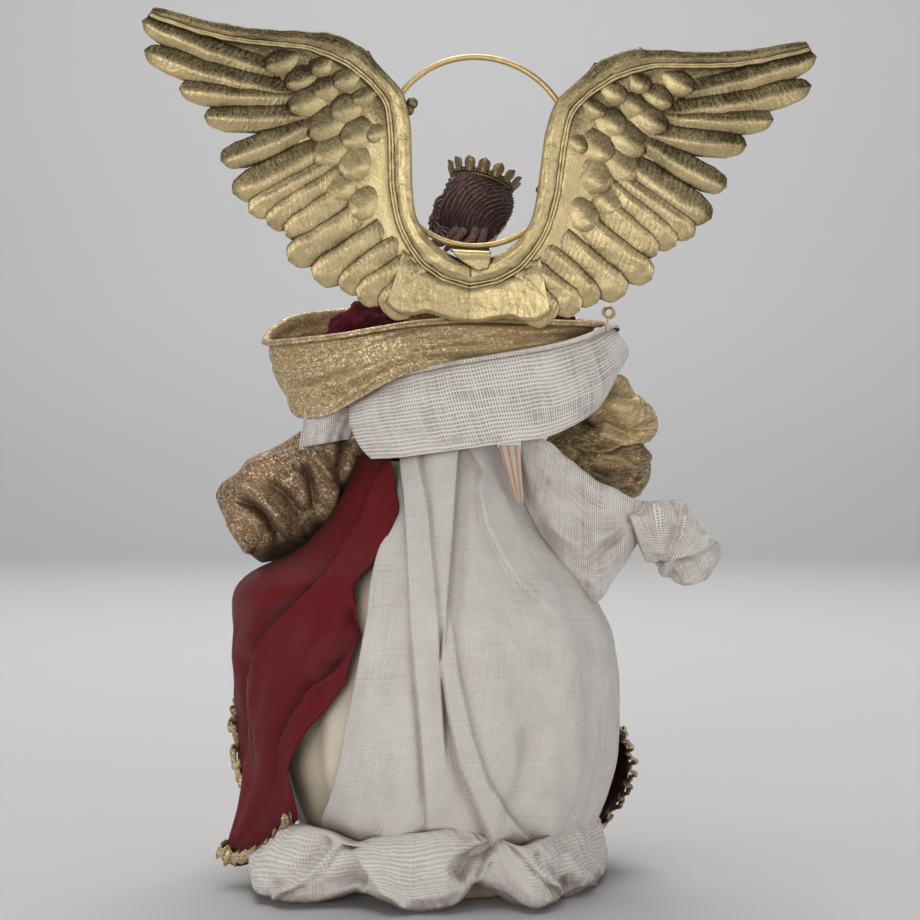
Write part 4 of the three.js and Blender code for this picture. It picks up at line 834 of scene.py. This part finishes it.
def redPlace(u, v):
    start = skirt["redFrom"]
    hemAngle = start + u * skirt["redRound"]
    hem = skirt["waist"] * softTable(redHem, hemAngle, 1.2)
    height = hem + v * (skirt["top"] + 3 - hem)
    share = height / skirt["waist"]
    angle = start + u * (softTable(redEdge, share, 0.012) - start)
    swing = np.sqrt(bump(angle + 95, 62))
    plain = bellRadius(height) - 0.8
    radius = plain + (skirt["swing"] * softTable(redLeft, share, 0.02) - plain) * swing
    radius = radius + 12 * bump(angle - start, 24) * bump(share - 0.2, 0.2)
    p = skirtPlace(angle, height, radius + folds(angle, share, redRows))
    p[:, 0] += table(redZig, hemAngle) * inside(1 - (height - hem) / 75) ** 1.5
    rough = unevenness(p * [1, 1, 0.35], 30, 21) * 1.2 + unevenness(p * [1, 1, 0.4], 13, 22) * 0.35
    return outward(p, drawnFolds(p, redLines) + rough * np.clip(1.25 - share, 0.2, 1), skirt["middle"])


cloth("underskirt", underskirtPlace, 300, 70, (0.56, 0.225), "creamSatin", "cream_satin", "hung", "body_cone",
      0.4, loop=True)
cloth("redOverskirt", redPlace, 320, 145, (0.42, 0.2), "redSatin", "red_satin", "draped", "underskirt",
      area=0.06)
cloth("muslinOverskirt", muslinPlace, 290, 160, (0.24, 0.2), "muslin", "muslin", "draped", "underskirt", 0.4,
      area=0.04)
print("skirts ready")


braid = {"half": 3.3, "upTo": 0.1, "rise": 0.26}


def makeBraid():
    bm = bmesh.new()

    def place(u, v):
        upright = v < braid["upTo"]  # this stretch runs up the cloth's end at the right
        height = braid["rise"] * inside(1 - v / braid["upTo"])
        along = 0.006 + 0.986 * inside((v - braid["upTo"]) / (1 - braid["upTo"]))
        hem = redPlace(along, 0.02 + height)
        aside = redPlace(along + 0.02 * upright, 0.05 + height - 0.03 * upright) - hem
        hem = outward(hem, 1.8 + 1.6 * np.sin(v * 431) + 0.8 * np.sin(v * 967 + 1), skirt["middle"])
        far = unit(stack(hem[:, 0] - skirt["middle"], hem[:, 1], 0 * v))
        turn = (2 * np.pi * u)[:, None]
        lump = (1 + 0.24 * np.sin(v * 1900 + 6 * np.sin(v * 90)) + 0.14 * np.sin(v * 1130))[:, None]
        return hem + unit(aside) * (np.cos(turn) * braid["half"] * lump) + far * (np.sin(turn) * lump)
    grid(bm, place, 12, 2600, 0.01, 0.6)
    keep(bm, "hemBraid", "braid", "gold_braid")


makeBraid()

flounce = [  # angle, reach, foot and top
    (-74, 92, 6, 20), (-62, 101, 2, 26), (-52, 107, 1, 34), (-43, 110, 0, 35), (-35, 99, 3, 32),
    (-27, 91, 9, 29), (-18, 91, 6, 32), (-8, 92, 0, 35), (2, 90, 1, 37), (8, 87, 6, 36),
    (12, 85, 14, 36), (17, 86, 11, 34),
    (21, 90, 8, 31), (26, 102, 0, 27), (33, 97, 0, 30), (42, 87, 0, 31), (62, 85, 0, 31), (80, 84, 0, 30),
    (94, 81, 0, 28)]
roll = {"from": -74, "round": 168, "inner": 74, "flat": 1.45, "full": 0.75, "below": 0.28}
flounceLines = [
    ([(266, 905), (298, 886), (317, 874), (332, 854), (344, 844), (364, 850)], 6, 1.4, -3.4),
    ([(262, 893), (288, 876), (308, 858), (330, 840)], 9, 0, -5.5),
    ([(305, 893), (335, 882), (352, 876), (366, 886)], 8, 0, -5.5),
    ([(352, 848), (364, 862), (384, 890), (412, 914)], 6, 0, 3.8),
    ([(425, 850), (435, 875), (448, 900)], 12, 0, 1.8),
    ([(455, 882), (468, 862), (482, 850), (498, 843)], 9, 0, -7),
    ([(442, 872), (452, 856), (470, 843), (498, 838)], 5, 0, 2.6),
    ([(500, 838), (486, 862), (478, 880)], 5, 1.3, -3.2),
    ([(500, 838), (520, 852), (541, 874), (562, 895)], 6, 1.4, -3.2),
    ([(488, 862), (500, 878), (520, 900)], 8, 0, -2.2),
    ([(534, 852), (552, 870), (572, 890)], 6, 0, -3.4),
    ([(560, 850), (572, 868), (590, 884)], 8, 0, 2.6),
    ([(262, 850), (256, 870), (262, 898)], 7, 0, 2.5),
]


def flouncePlace(u, v):
    angle = roll["from"] + roll["round"] * u
    reach, lift, high = (softTable([(row[0], row[k]) for row in flounce], angle, 2) for k in (1, 2, 3))
    half = (reach - roll["inner"]) / 2
    turn = np.radians(140 - 290 * v)
    out, up = np.cos(turn), np.sin(turn)
    slant = (out > 0) & (up > 0)  # the face that leans from the skirt down to the ground
    bend = np.where(slant, roll["flat"], roll["full"])
    out = np.sign(out) * np.abs(out) ** bend
    up = np.where(up > 0, (1 - roll["below"]) * np.abs(up) ** bend, -roll["below"] * np.abs(up) ** bend)
    ground = lift * (1 - 0.35 * stepUp(v, 0.7, 0.95))
    radius = reach + half * (out - 1)
    p = around(angle, radius, radius, ground + (high - lift) * (roll["below"] + up))
    rough = unevenness(p * [1, 1, 0.7], 16, 41) * 0.7 + unevenness(p * [1, 1, 0.7], 9, 42, True) * 0.7
    p = outward(p, rough + drawnFolds(p, flounceLines) * stepUp(v, 0, 0.15))
    p[:, 2] = np.maximum(p[:, 2] + unevenness(p, 22, 43), 0.3)
    return p


cloth("hemFlounce", flouncePlace, 400, 100, (0.3, 0.06), "muslin", "muslin", "gathered", "ground")
print("flounce ready")

wraps = {  # the edges are an angle and the heights of the lower and upper edge there
    "shawl": {"centre": -3, "wide": 78, "deep": 34, "tuck": 0, "roll": 1.9, "lean": 0, "flare": 4.5,
              "taper": 6, "under": 0, "edges": [
        (-180, 262, 284), (-150, 260, 284), (-120, 252, 279), (-90, 236, 266), (-70, 226, 264), (-53, 225, 264),
        (-43, 227, 265), (-32, 233, 266), (-19, 241.5, 269), (-6, 248.5, 272), (4, 250, 273), (14, 250, 274),
        (40, 255, 273), (70, 260, 273), (110, 262, 276), (150, 262, 281), (180, 262, 284)]},
    "sash": {"centre": 17, "wide": 79, "deep": 38.5, "tuck": 3.5, "roll": 1.4, "lean": 9, "flare": 0,
             "taper": 3, "under": 5, "edges": [
        (-60, 205, 240), (-30, 206, 247), (0, 211, 254), (30, 216, 261), (58, 230, 269), (74, 246, 273),
        (90, 253, 272), (112, 253, 270), (132, 242, 264), (180, 216, 248), (228, 206, 230)]},
}


def wrapPlace(wrap, angle, v, creases, seed):
    edges = np.array(wrap["edges"], float)
    low, high = (softTable(edges[:, [0, k]], angle, 5) for k in (1, 2))
    plain = 0.84  # above this share the upper edge is rolled over
    turn = inside((v - plain) / (1 - plain)) * np.pi * 1.15
    rise = inside(v / plain)
    height = low + rise * (high - wrap["roll"] - low) + wrap["roll"] * np.sin(turn)
    along = stack(angle * 0.32, rise * 26, 0 * v)
    crease = unevenness(along * [0.6, 1, 1], 14, seed) + unevenness(along * [0.3, 1, 1], 9, seed + 1) * 0.6
    crease = crease * creases + unevenness(stack(angle * 1.3, v * 30, 0 * v), 7, seed + 2) * 0.15
    out = crease - wrap["tuck"] * (1 - v) + wrap["roll"] * (1 - np.cos(turn)) + 2.2 * np.sin(np.pi * rise)
    out = out - wrap["under"] * stepUp(-angle, 4, 20) * rise ** 1.5
    wide = wrap["wide"] - wrap["lean"] * stepUp(angle, 10, 70) * rise ** 2
    wide = wide + wrap["flare"] * rise ** 5 - wrap["taper"] * (1 - rise) ** 3
    return around(angle, wide + out, wrap["deep"] + out, height, wrap["centre"])


def sashPlace(u, v):  # its left end is cut aslant
    return wrapPlace(wraps["sash"], (1 - u) * (-44 - 14 * v ** 0.7) + 228 * u, v, 0.5, 61)


cloth("goldShawl", lambda u, v: wrapPlace(wraps["shawl"], 360 * u - 180, v, 1.3, 51), 360, 56, (0.38, 0.04),
      "shawlGold", "gold_lame", "draped", "wing_block", loop=True)
cloth("gauzeSash", sashPlace, 330, 70, (0.32, 0.05), "gauze", "gauze", "draped", "gold_shawl", 0.4)


tail = {"corner": (-42, -19, 216), "long": 27, "tall": 15, "fall": 5, "flare": 3, "inward": 12.5}


def tailPlace(u, v):
    x, y, z = tail["corner"]
    depth = y + tail["inward"] * (1 - v) * (1 - 0.9 * u) + np.sin(9 * u)
    height = z - tail["fall"] * u + (tail["tall"] + tail["flare"] * u) * v
    p = stack(x - tail["long"] * u + tail["flare"] * u * v, depth, height)
    p[:, 1] -= unevenness(p, 9, 72) * 0.8
    return p


cloth("gauzeTail", tailPlace, 60, 50, (0.024, 0.04), "gauze", "gauze", "draped", "left_gold_sleeve", 0.4,
      area=0.0004)

drape = {"top": [(40, -24, 217), (53, -26, 214), (64, -25, 204), (83, -20, 192), (100, -15, 184)],
         "foot": [(39, -21, 200), (43, -20, 182), (52, -23, 165), (62, -26, 150), (75, -20, 136),
                  (87, -16, 148), (99, -13, 167)],
         "knot": [(97, -13, 167), (106, -13, 170), (115, -9, 168), (123, -5, 158), (130, -4, 147)],
         "wide": [(0, 0.95), (0.25, 0.98), (0.42, 1.05), (0.58, 0.86), (0.75, 0.98), (0.9, 0.9), (1, 0.5)],
         "deep": [(0, 0.5), (0.3, 0.62), (0.5, 0.75), (0.75, 0.875), (0.92, 0.8), (1, 0.45)],
         "knotGirth": 16, "knotEnds": 0.06, "fill": 0.6}
knotLines = [
    ([(712, 548), (692, 556), (674, 558), (667, 580)], 7, 1.3, 3.4),
    ([(680, 500), (684, 520), (678, 540), (660, 570)], 7, 1.3, -2.6),
    ([(640, 505), (650, 530), (642, 570)], 7, 0, -2.6),
    ([(655, 503), (667, 525), (660, 560)], 6, 0, 1.8),
    ([(700, 560), (715, 575), (712, 598)], 7, 0, -2.0),
    ([(680, 575), (700, 585), (722, 580)], 6, 0, 1.6),
]
drapeLines = [
    ([(552, 450), (580, 478), (612, 496), (640, 508)], 8, 0, 2.5),
    ([(535, 470), (565, 510), (600, 524), (640, 518)], 7, 0, -2.2),
    ([(545, 520), (575, 545), (606, 536), (630, 520)], 6, 0, 2.6),
    ([(566, 560), (590, 560), (612, 540), (628, 524)], 5, 0, -3.0),
    ([(585, 585), (602, 575), (618, 552), (632, 530)], 6, 0, 2.8),
]


def drapePlace(u, v):
    foot, top = spline(drape["foot"], u), spline(drape["top"], u)
    p = foot + (top - foot) * v[:, None]
    along = stack(u * 22, v * 30, 0 * u)
    depth = unevenness(along * [0.5, 0.7, 1], 12, 81) * 1.2 + 3.5 * np.sin(np.pi * v)
    p[:, 1] -= depth * (1 - 0.5 * u) + drawnFolds(p, drapeLines)
    p[:, 2] += unevenness(p, 18, 83) * 0.8
    return p


cloth("gauzeDrape", drapePlace, 170, 140, (0.075, 0.045), "drapeGauze", "gauze", "hung", "gauze_sash", 0.4)


def ringsPlace(path, girth, widths, depths, crumple):
    def place(u, v):
        centre, side, depth = alongPath(path, v, 0.02, [0, -1, 0])
        turn = 2 * np.pi * u
        p = centre + side * (girth * softTable(widths, v, 0.04) * np.cos(turn))[:, None]
        p = p + depth * (girth * softTable(depths, v, 0.04) * np.sin(turn))[:, None]
        return p + unit(p - centre) * np.reshape(crumple(p, turn, v), (-1, 1))
    return place


def makeKnot():
    def crumple(p, turn, v):
        twist = np.abs(np.cos(2.5 * turn + 7 * v + 0.5 * unevenness(p, 14, 91)))
        return 0.8 - 1.5 * twist ** 0.7 + unevenness(p, 15, 92) + drawnFolds(p, knotLines)
    body = ringsPlace(drape["knot"], drape["knotGirth"], drape["wide"], drape["deep"], crumple)

    def place(u, v):
        ends, far = drape["knotEnds"], v[:, None] > 0.5
        p = body(u, inside((v - ends) / (1 - 2 * ends)))
        close = np.sqrt(inside(np.minimum(v, 1 - v) / ends))[:, None]
        beyond = np.where(far, 3.5, -1.0) * (1 - close) * [1, 0.2, -0.4]
        return np.where(far, drape["knot"][-1], drape["knot"][0]) * (1 - close) + p * close + beyond
    bm = bmesh.new()
    grid(bm, place, 90, 90, 0.09, 0.06)
    keep(bm, "gauzeKnot", "drapeGauze", "gauze")


makeKnot()


ribbon = {"foot": (37, -31, 184), "tall": 28, "wide": 3.5, "flare": 7, "aslant": 8.5, "inward": 1.6,
          "turned": 2}


def ribbonPlace(u, v):
    x, y, z = ribbon["foot"]
    depth = y + ribbon["inward"] * v - ribbon["turned"] * u + 0.5 * np.sin(5 * v + 3 * u)
    across = x - ribbon["aslant"] * v + (ribbon["wide"] + ribbon["flare"] * v) * u
    return stack(across, depth, z + ribbon["tall"] * v)


cloth("stripedRibbon", ribbonPlace, 20, 30, (0.013, 0.0285), "ribbon", "ribbon", "hung", "gauze_sash", 0.4,
      area=0.00018)
print("wraps ready")


leftSleeveLines = [
    ([(236, 488), (250, 491), (267, 500), (279, 514), (288, 528), (304, 537), (322, 532)], 6, 0, 3.2),
    ([(232, 497), (250, 503), (264, 514), (273, 530), (284, 544)], 5, 0, -3.4),
    ([(262, 478), (282, 494), (296, 512), (306, 522)], 6, 0, -3.2),
    ([(312, 450), (326, 468), (334, 486), (331, 507), (324, 528)], 5, 0, 3.6),
    ([(300, 462), (309, 480), (316, 500), (318, 514)], 5, 0, -3.2),
    ([(340, 430), (345, 450), (343, 475)], 6, 0, -3.4),
    ([(240, 472), (265, 463), (290, 454), (312, 446)], 5, 0, 2.2),
    ([(228, 520), (240, 538), (252, 552)], 5, 0, 2.6),
]
rightSleeveLines = [
    ([(590, 372), (618, 380), (640, 386), (656, 398)], 5, 0, 2.5),
    ([(600, 384), (622, 392), (640, 396)], 5, 0, -3),
    ([(575, 432), (600, 428), (632, 436), (652, 424)], 6, 0, -3.5),
    ([(580, 410), (610, 408), (640, 412)], 10, 0, 1.6),
]
cuffLines = [
    ([(570, 446), (590, 453), (610, 450), (632, 438)], 7, 1.4, -3.0),
    ([(590, 452), (615, 456), (636, 470), (646, 495)], 6, 0, 2.6),
    ([(585, 476), (605, 479), (628, 482)], 9, 0, -6.5),
    ([(575, 462), (600, 466), (622, 470)], 5, 0, 1.8),
]


def creased(size, big, seed, fine, small, lines, tall, folded=False):  # waves of two sizes and drawn folds
    def amount(p, turn, v):
        waves = unevenness(p, size, seed) * big + unevenness(p, fine, seed + 1, folded) * small
        return waves + drawnFolds(p, lines) * tall
    return amount


sleeves = [
    {"name": "leftGoldSleeve", "girth": 25,
     "path": [(-38.8, 0.9, 228), (-61, 5, 202), (-82, 9, 184), (-101, 14, 171)],
     "wide": [(0, 0.4), (0.3, 0.78), (0.6, 1.02), (0.85, 0.98), (1, 0.82)],
     "deep": [(0, 0.385), (0.3, 0.6), (0.7, 0.76), (1, 0.64)],
     "crumple": creased(24, 1.3, 101, 12, 0.35, leftSleeveLines, 2), "grid": (190, 150), "flat": (0.13, 0.09),
     "look": "sleeveBronze", "slot": "bronze_lame", "arm": "left_arm", "area": 0.0105},
    {"name": "rightGoldSleeve", "girth": 20,
     "path": [(69, 2, 248), (82, 4.5, 235), (89, 7, 226), (89, 10.3, 217)],
     "wide": [(0, 0.48), (0.5, 0.75), (0.8, 1), (1, 0.85)],
     "deep": [(0, 0.48), (0.5, 0.6), (0.8, 0.7), (1, 0.6)],
     "crumple": creased(17, 1, 111, 10, 0.3, rightSleeveLines, 1.8), "grid": (150, 90), "flat": (0.095, 0.045),
     "look": "sleeveGold", "slot": "gold_lame", "arm": "right_arm", "area": None},
    {"name": "rightGoldCuff", "girth": 24, "path": [(82, 9, 222), (80, 12, 206), (82, 17, 186)],
     "wide": [(0, 0.7), (0.4, 1.12), (0.8, 1.05), (1, 0.82)],
     "deep": [(0, 0.3), (0.4, 0.6), (0.8, 0.62), (1, 0.52)],
     "crumple": creased(17, 1, 121, 10, 0.3, cuffLines, 1.8), "grid": (150, 90), "flat": (0.12, 0.04),
     "look": "cuffOlive", "slot": "gold_lame", "arm": "right_arm", "area": None},
]
puffs = [
    {"side": "left", "out": -1, "elbow": (-44, 1, 222), "share": 0.86, "girth": 25,
     "swell": (-0.45, -0.1, 0.42), "flat": (0.125, 0.06), "area": 0.0068},
    {"side": "right", "out": 1, "elbow": (88, 3, 238), "share": 0.745, "girth": 17,
     "swell": (0.1, -0.1, 0.45), "flat": (0.1, 0.055), "area": 0.0038},
]
puffWide = [(0, 0.76), (0.4, 1), (0.75, 0.66), (1, 0.34)]
puffDeep = [(0, 0.55), (0.4, 0.85), (0.75, 0.6), (1, 0.34)]
trunk = {"foot": 205, "tall": 72, "lean": (3, 10), "wide": 25, "deep": 15, "gap": 1.8, "neck": 13, "arms": 20,
         "armHeight": 266.9,
         "girths": [(0, 0.92), (0.25, 0.86), (0.55, 0.95), (0.75, 1), (0.9, 0.88), (1, 0.45)]}


def makePuff(puff):  # from just outside the shoulder towards the elbow
    shoulder = np.array([trunk["neck"] + puff["out"] * trunk["arms"], 0, trunk["armHeight"]])
    start = shoulder + [puff["out"] * 7.9, -2.9, -2]
    end = shoulder + (np.array(puff["elbow"]) - shoulder) * puff["share"]
    path = [start, (start + end) / 2 + np.array(puff["swell"]) * puff["girth"], end]
    place = ringsPlace(path, puff["girth"], puffWide, puffDeep, creased(14, 1.6, 131, 8, 1.6, [], 0, True))
    cloth(puff["side"] + "VelvetSleeve", place, 110, 60, puff["flat"], "velvet", "velvet", "stretched",
          puff["side"] + "_arm", 0.6, loop=True, area=puff["area"])


def bodicePlace(u, v):
    share = 0.05 + 0.88 * v
    girth = softTable(trunk["girths"], share, 0.03)
    middle = trunk["lean"][0] + trunk["lean"][1] * share
    p = around(360 * u, trunk["wide"] * girth + trunk["gap"], trunk["deep"] * girth + trunk["gap"],
               trunk["foot"] + trunk["tall"] * share, middle)
    return outward(p, unevenness(p, 14, 141) * 0.4, middle)


for row in sleeves:
    place = ringsPlace(row["path"], row["girth"], row["wide"], row["deep"], row["crumple"])
    cloth(row["name"], place, *row["grid"], row["flat"], row["look"], row["slot"], "draped", row["arm"],
          loop=True, area=row["area"])
for row in puffs:
    makePuff(row)
cloth("velvetBodice", bodicePlace, 120, 60, (0.13, 0.064), "velvet", "velvet", "stretched", "torso_core", 0.6,
      loop=True)
print("sleeves ready")


def turnAbout(axis, angle):
    return Matrix.Rotation(math.radians(angle), 4, axis)


head = {"middle": (18, 0, 330), "wide": 14.5, "deep": 17, "tall": 20, "neck": 7, "whorl": (506, 240)}
headPlace = Matrix.Translation(head["middle"]) @ turnAbout("Z", -52) @ turnAbout("X", -8)
crownPlace = headPlace @ Matrix.Translation((0, 1.36, 12.4)) @ turnAbout("X", -10)


def moved(matrix, p):
    turn = np.array(matrix)
    return p @ turn[:3, :3].T + turn[:3, 3]


def ball(bm, columns, rows, shape, marks, names):
    layers = [bm.verts.layers.float.get(name) or bm.verts.layers.float.new(name) for name in names]
    made = bmesh.ops.create_uvsphere(bm, u_segments=columns, v_segments=rows, radius=1)["verts"]
    ways = np.array([v.co[:] for v in made])
    for vert, co in zip(made, shape(ways) * mm):
        vert.co = co
    for layer, values in zip(layers, marks(ways)):
        for vert, value in zip(made, values):
            vert[layer] = value
    for face in facesOf(made):
        face.smooth = True


def near(ways, x, y, z, reach):
    return bump(np.linalg.norm(ways - unit(np.array([[x, y, z]])), axis=1), reach)


faceMarks = [  # a way from the middle, the reach and the height of a swelling there
    (0, 1, 0.06, 0.16, 1.0), (0, 1, -0.14, 0.17, 2.6), (0, 1, -0.45, 0.15, 0.9), (0, 0.9, -0.72, 0.26, 1.6)]
pairedMarks = [
    (0.07, 1, -0.2, 0.09, 0.7), (0.33, 0.93, 0.1, 0.26, -1.4), (0.33, 0.93, 0.08, 0.15, 1.2),
    (0.33, 0.9, 0.29, 0.22, 0.5), (0.07, 1, -0.37, 0.12, 0.9), (0.55, 0.8, -0.22, 0.4, 0.7)]
faceMarks += [(across * side, *rest) for across, *rest in pairedMarks for side in (1, -1)]


def skullShape(ways):
    x, y, z = ways.T
    swell = sum(tall * near(ways, a, b, c, reach) for a, b, c, reach, tall in faceMarks)
    jaw = np.where(z < 0, 1 - 0.24 * z ** 2 * (1 - 0.4 * y), 1)
    narrow = np.where(z < 0, 1 + 0.3 * z * np.abs(z), 1)
    return moved(headPlace, stack(x * (head["wide"] + swell) * narrow, y * (head["deep"] + swell) * jaw,
                                  z * (head["tall"] + swell)))


def faceMarking(ways):
    x, y, z = ways.T
    lips = inside(1.4 - ((x / 0.2) ** 2 + ((z + 0.4) / 0.085) ** 2)) * (y > 0)
    fromEye = np.abs(x) - 0.33
    lid = np.abs(np.hypot(fromEye / 0.16, (z - 0.12) / 0.1) - 1)
    brow = np.abs(np.hypot(fromEye / 0.2, (z - 0.17) / 0.13) - 1)
    lash = np.maximum(inside(1.3 - lid / 0.16) * (z < 0.11), inside(1.1 - brow / 0.12) * (z > 0.22)) * (y > 0)
    return sum(near(ways, across, 0.8, -0.22, 0.35) for across in (0.55, -0.55)), lips, lash


def combed(p):  # strands that sweep in arcs from the crown down to the roll
    x, z = (seen(p) - head["whorl"]).T
    far, turn = np.hypot(x, z), np.arctan2(z, x)
    ragged = unevenness(p, 8, 151)
    wave = far / 4 + 0.5 * np.sin(2.6 * turn + far / 17) + 0.35 * unevenness(p, 15, 153)
    broad = 1 - 2 * np.abs(np.sin(np.pi * wave)) ** 0.7
    fine = np.sin(np.pi * far + 3 * unevenness(p, 10, 152))
    return (0.58 + 0.4 * ragged) * broad + (0.42 - 0.35 * ragged) * fine


def hairShape(ways):
    x, y, z = ways.T
    hairline = stepUp(ways @ [0, -0.86, 0.5], -0.62, -0.42) * stepUp(z, -0.97, -0.8)
    full = 3.2 + 1.4 * bump(z + 0.25, 0.75) - 3.2 * near(ways, -0.62, -0.79, 0.1, 0.75)
    reach = full * hairline - 2.5 * (1 - hairline)
    p = moved(headPlace, stack(x * (head["wide"] + reach), y * (head["deep"] + reach),
                               z * (head["tall"] + reach * 0.6)))
    return p + unit(p - head["middle"]) * (0.75 * combed(p) * hairline)[:, None]


def lifted(ways):
    p = hairShape(ways)
    # lighter on the raised strands, and lighter towards the top of the hair
    return [0.42 + 0.42 * combed(p) + 0.16 * stepUp(p[:, 2], 318, 338)]


def makeCurl(bm, columns, rows, at, size, twist, ribs):
    def rib(ways):
        return 1 - np.abs(np.sin(ribs * np.arctan2(ways[:, 2], ways[:, 0]) + twist * ways[:, 1]))

    def shape(ways):
        return moved(headPlace, at + ways * size * (0.9 + 0.16 * rib(ways))[:, None])
    ball(bm, columns, rows, shape, lambda ways: [1.1 * rib(ways)], ["lift"])


locks = [
    [(6, -14, -12), (2, -15.5, -17), (-5, -16, -20), (-11, -16.5, -19), (-15, -18, -22)],
    [(9, -12, -13), (6, -14, -18), (1, -15, -22), (-4, -14, -24)],
    [(12, -8, -12), (11.5, -9, -17), (8, -11, -21), (9, -13, -24), (12, -12, -24)],
    [(13, -4, -10), (13.5, -4.5, -16), (11, -5, -21), (12.5, -4, -25)]]


def makeHead():
    bm = bmesh.new()
    ball(bm, 144, 120, skullShape, faceMarking, ["cheek", "lips", "lash"])
    tube(bm, [(13, 0, 268), (15, 0, 290), (17.4, 0, 318)], head["neck"], 40, 20)
    keep(bm, "paintedHead", "face", "flesh_resin", "head")
    bm = bmesh.new()
    ball(bm, 290, 210, hairShape, lifted, ["lift"])
    makeCurl(bm, 70, 50, (-8.5, -14.2, -9), (7.2, 6.2, 7.6), 5, 5)
    makeCurl(bm, 50, 36, (-3.5, -15.5, -15.5), (6.2, 4.6, 4.6), 6, 4)
    bun = moved(headPlace.inverted(), np.array([[0.6, -5, 329.5]]))
    makeCurl(bm, 60, 50, bun, (4.2, 4.2, 7.4), 1.5, 5)
    layer, sides = bm.verts.layers.float.get("lift"), 14
    for lock in locks:
        made = tube(bm, moved(headPlace, np.array(lock)), lambda v: 2.2 * (1 - v) ** 0.5 + 0.3, sides, 50)
        for number, vert in enumerate(made):
            vert[layer] = 0.3 + 0.6 * math.sin(number % sides * 1.35) ** 2
    keep(bm, "combedHair", "hair", "hair_resin", "hair")


crown = {"leaves": 14, "bead": 0.75, "beadAt": (15.7, 0, 2), "out": 15.2, "foot": 1.4, "tall": 7, "reach": 8.4,
         "lean": 24, "half": 3.1,
         "band": [(14.5, 0.2), (14.5, 3.8), (15.4, 4), (15.8, 3.3), (15.4, 2.8), (15.5, 1.2), (15.8, 0.7),
                  (15.4, 0), (14.5, 0.2)],
         "wide": [(0, 0.8), (0.2, 0.7), (0.42, 0.92), (0.62, 1), (0.8, 0.9), (0.92, 0.62), (1, 0.05)],
         "thick": [(0, 0.6), (0.35, 0.5), (0.65, 1), (0.9, 0.8), (1, 0.1)]}


def leafPlace(angle):
    def place(u, v):
        side, face = np.cos(2 * np.pi * u), np.sin(2 * np.pi * u)
        thick = 0.3 + 0.7 * table(crown["thick"], v) * (1 - 0.5 * (side * 1.4) ** 4 / 4)
        out = crown["out"] + crown["reach"] * v * math.sin(math.radians(crown["lean"])) + 0.5 * np.cos(3 * side)
        return moved(crownPlace @ turnAbout("Z", angle),
                     stack(crown["half"] * table(crown["wide"], v) * side, out + thick * face,
                           crown["foot"] + crown["tall"] * v))
    return place


def bandRound(u, v):
    (out, up), turn = spline(crown["band"], u).T, 2 * np.pi * v
    return moved(crownPlace, stack(out * np.cos(turn), out * np.sin(turn), up))


def makeCrown():
    bm = bmesh.new()
    grid(bm, bandRound, 32, 120)
    for leaf in range(crown["leaves"]):
        grid(bm, leafPlace(360 * leaf / crown["leaves"]), 16, 28)
        for share in (0, 0.25, 0.5, 0.75):
            spot = crownPlace @ turnAbout("Z", 360 * (leaf + share) / crown["leaves"]) @ Vector(crown["beadAt"])
            for vert in bmesh.ops.create_icosphere(bm, subdivisions=2, radius=crown["bead"] * mm)["verts"]:
                vert.co += spot * mm
    for face in bm.faces:
        face.smooth = True
    keep(bm, "leafCrown", "crownBronze", "antique_gold", "crown")


eyelet = {"middle": (82.5, -19, 277.6), "second": (83.3, -17.9, 277), "radius": 2.5, "wire": 0.6, "end": 0.55,
          "stem": [(82.4, -19, 267.5), (82.2, -19.2, 271), (82.6, -19, 275.2)]}


def makeEyelet():
    bm = bmesh.new()
    grid(bm, ringPlace(eyelet["middle"], eyelet["radius"], eyelet["wire"]), 12, 48)
    grid(bm, ringPlace(eyelet["second"], eyelet["radius"], eyelet["end"]), 12, 48)
    tube(bm, eyelet["stem"], eyelet["wire"], 10, 20)
    keep(bm, "wireEyelet", "wireGold", "gold_wire")


makeHead()
makeCrown()
makeEyelet()
for finish, nodes in {"card": "base_disc body_cone torso_core wing_block", "wireGold": "left_arm right_arm",
                      "skin": "left_hand right_hand"}.items():
    for node in nodes.split():
        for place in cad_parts[node].material_slots:
            place.link = "OBJECT"
            place.material = finishes[finish]
print("head ready")
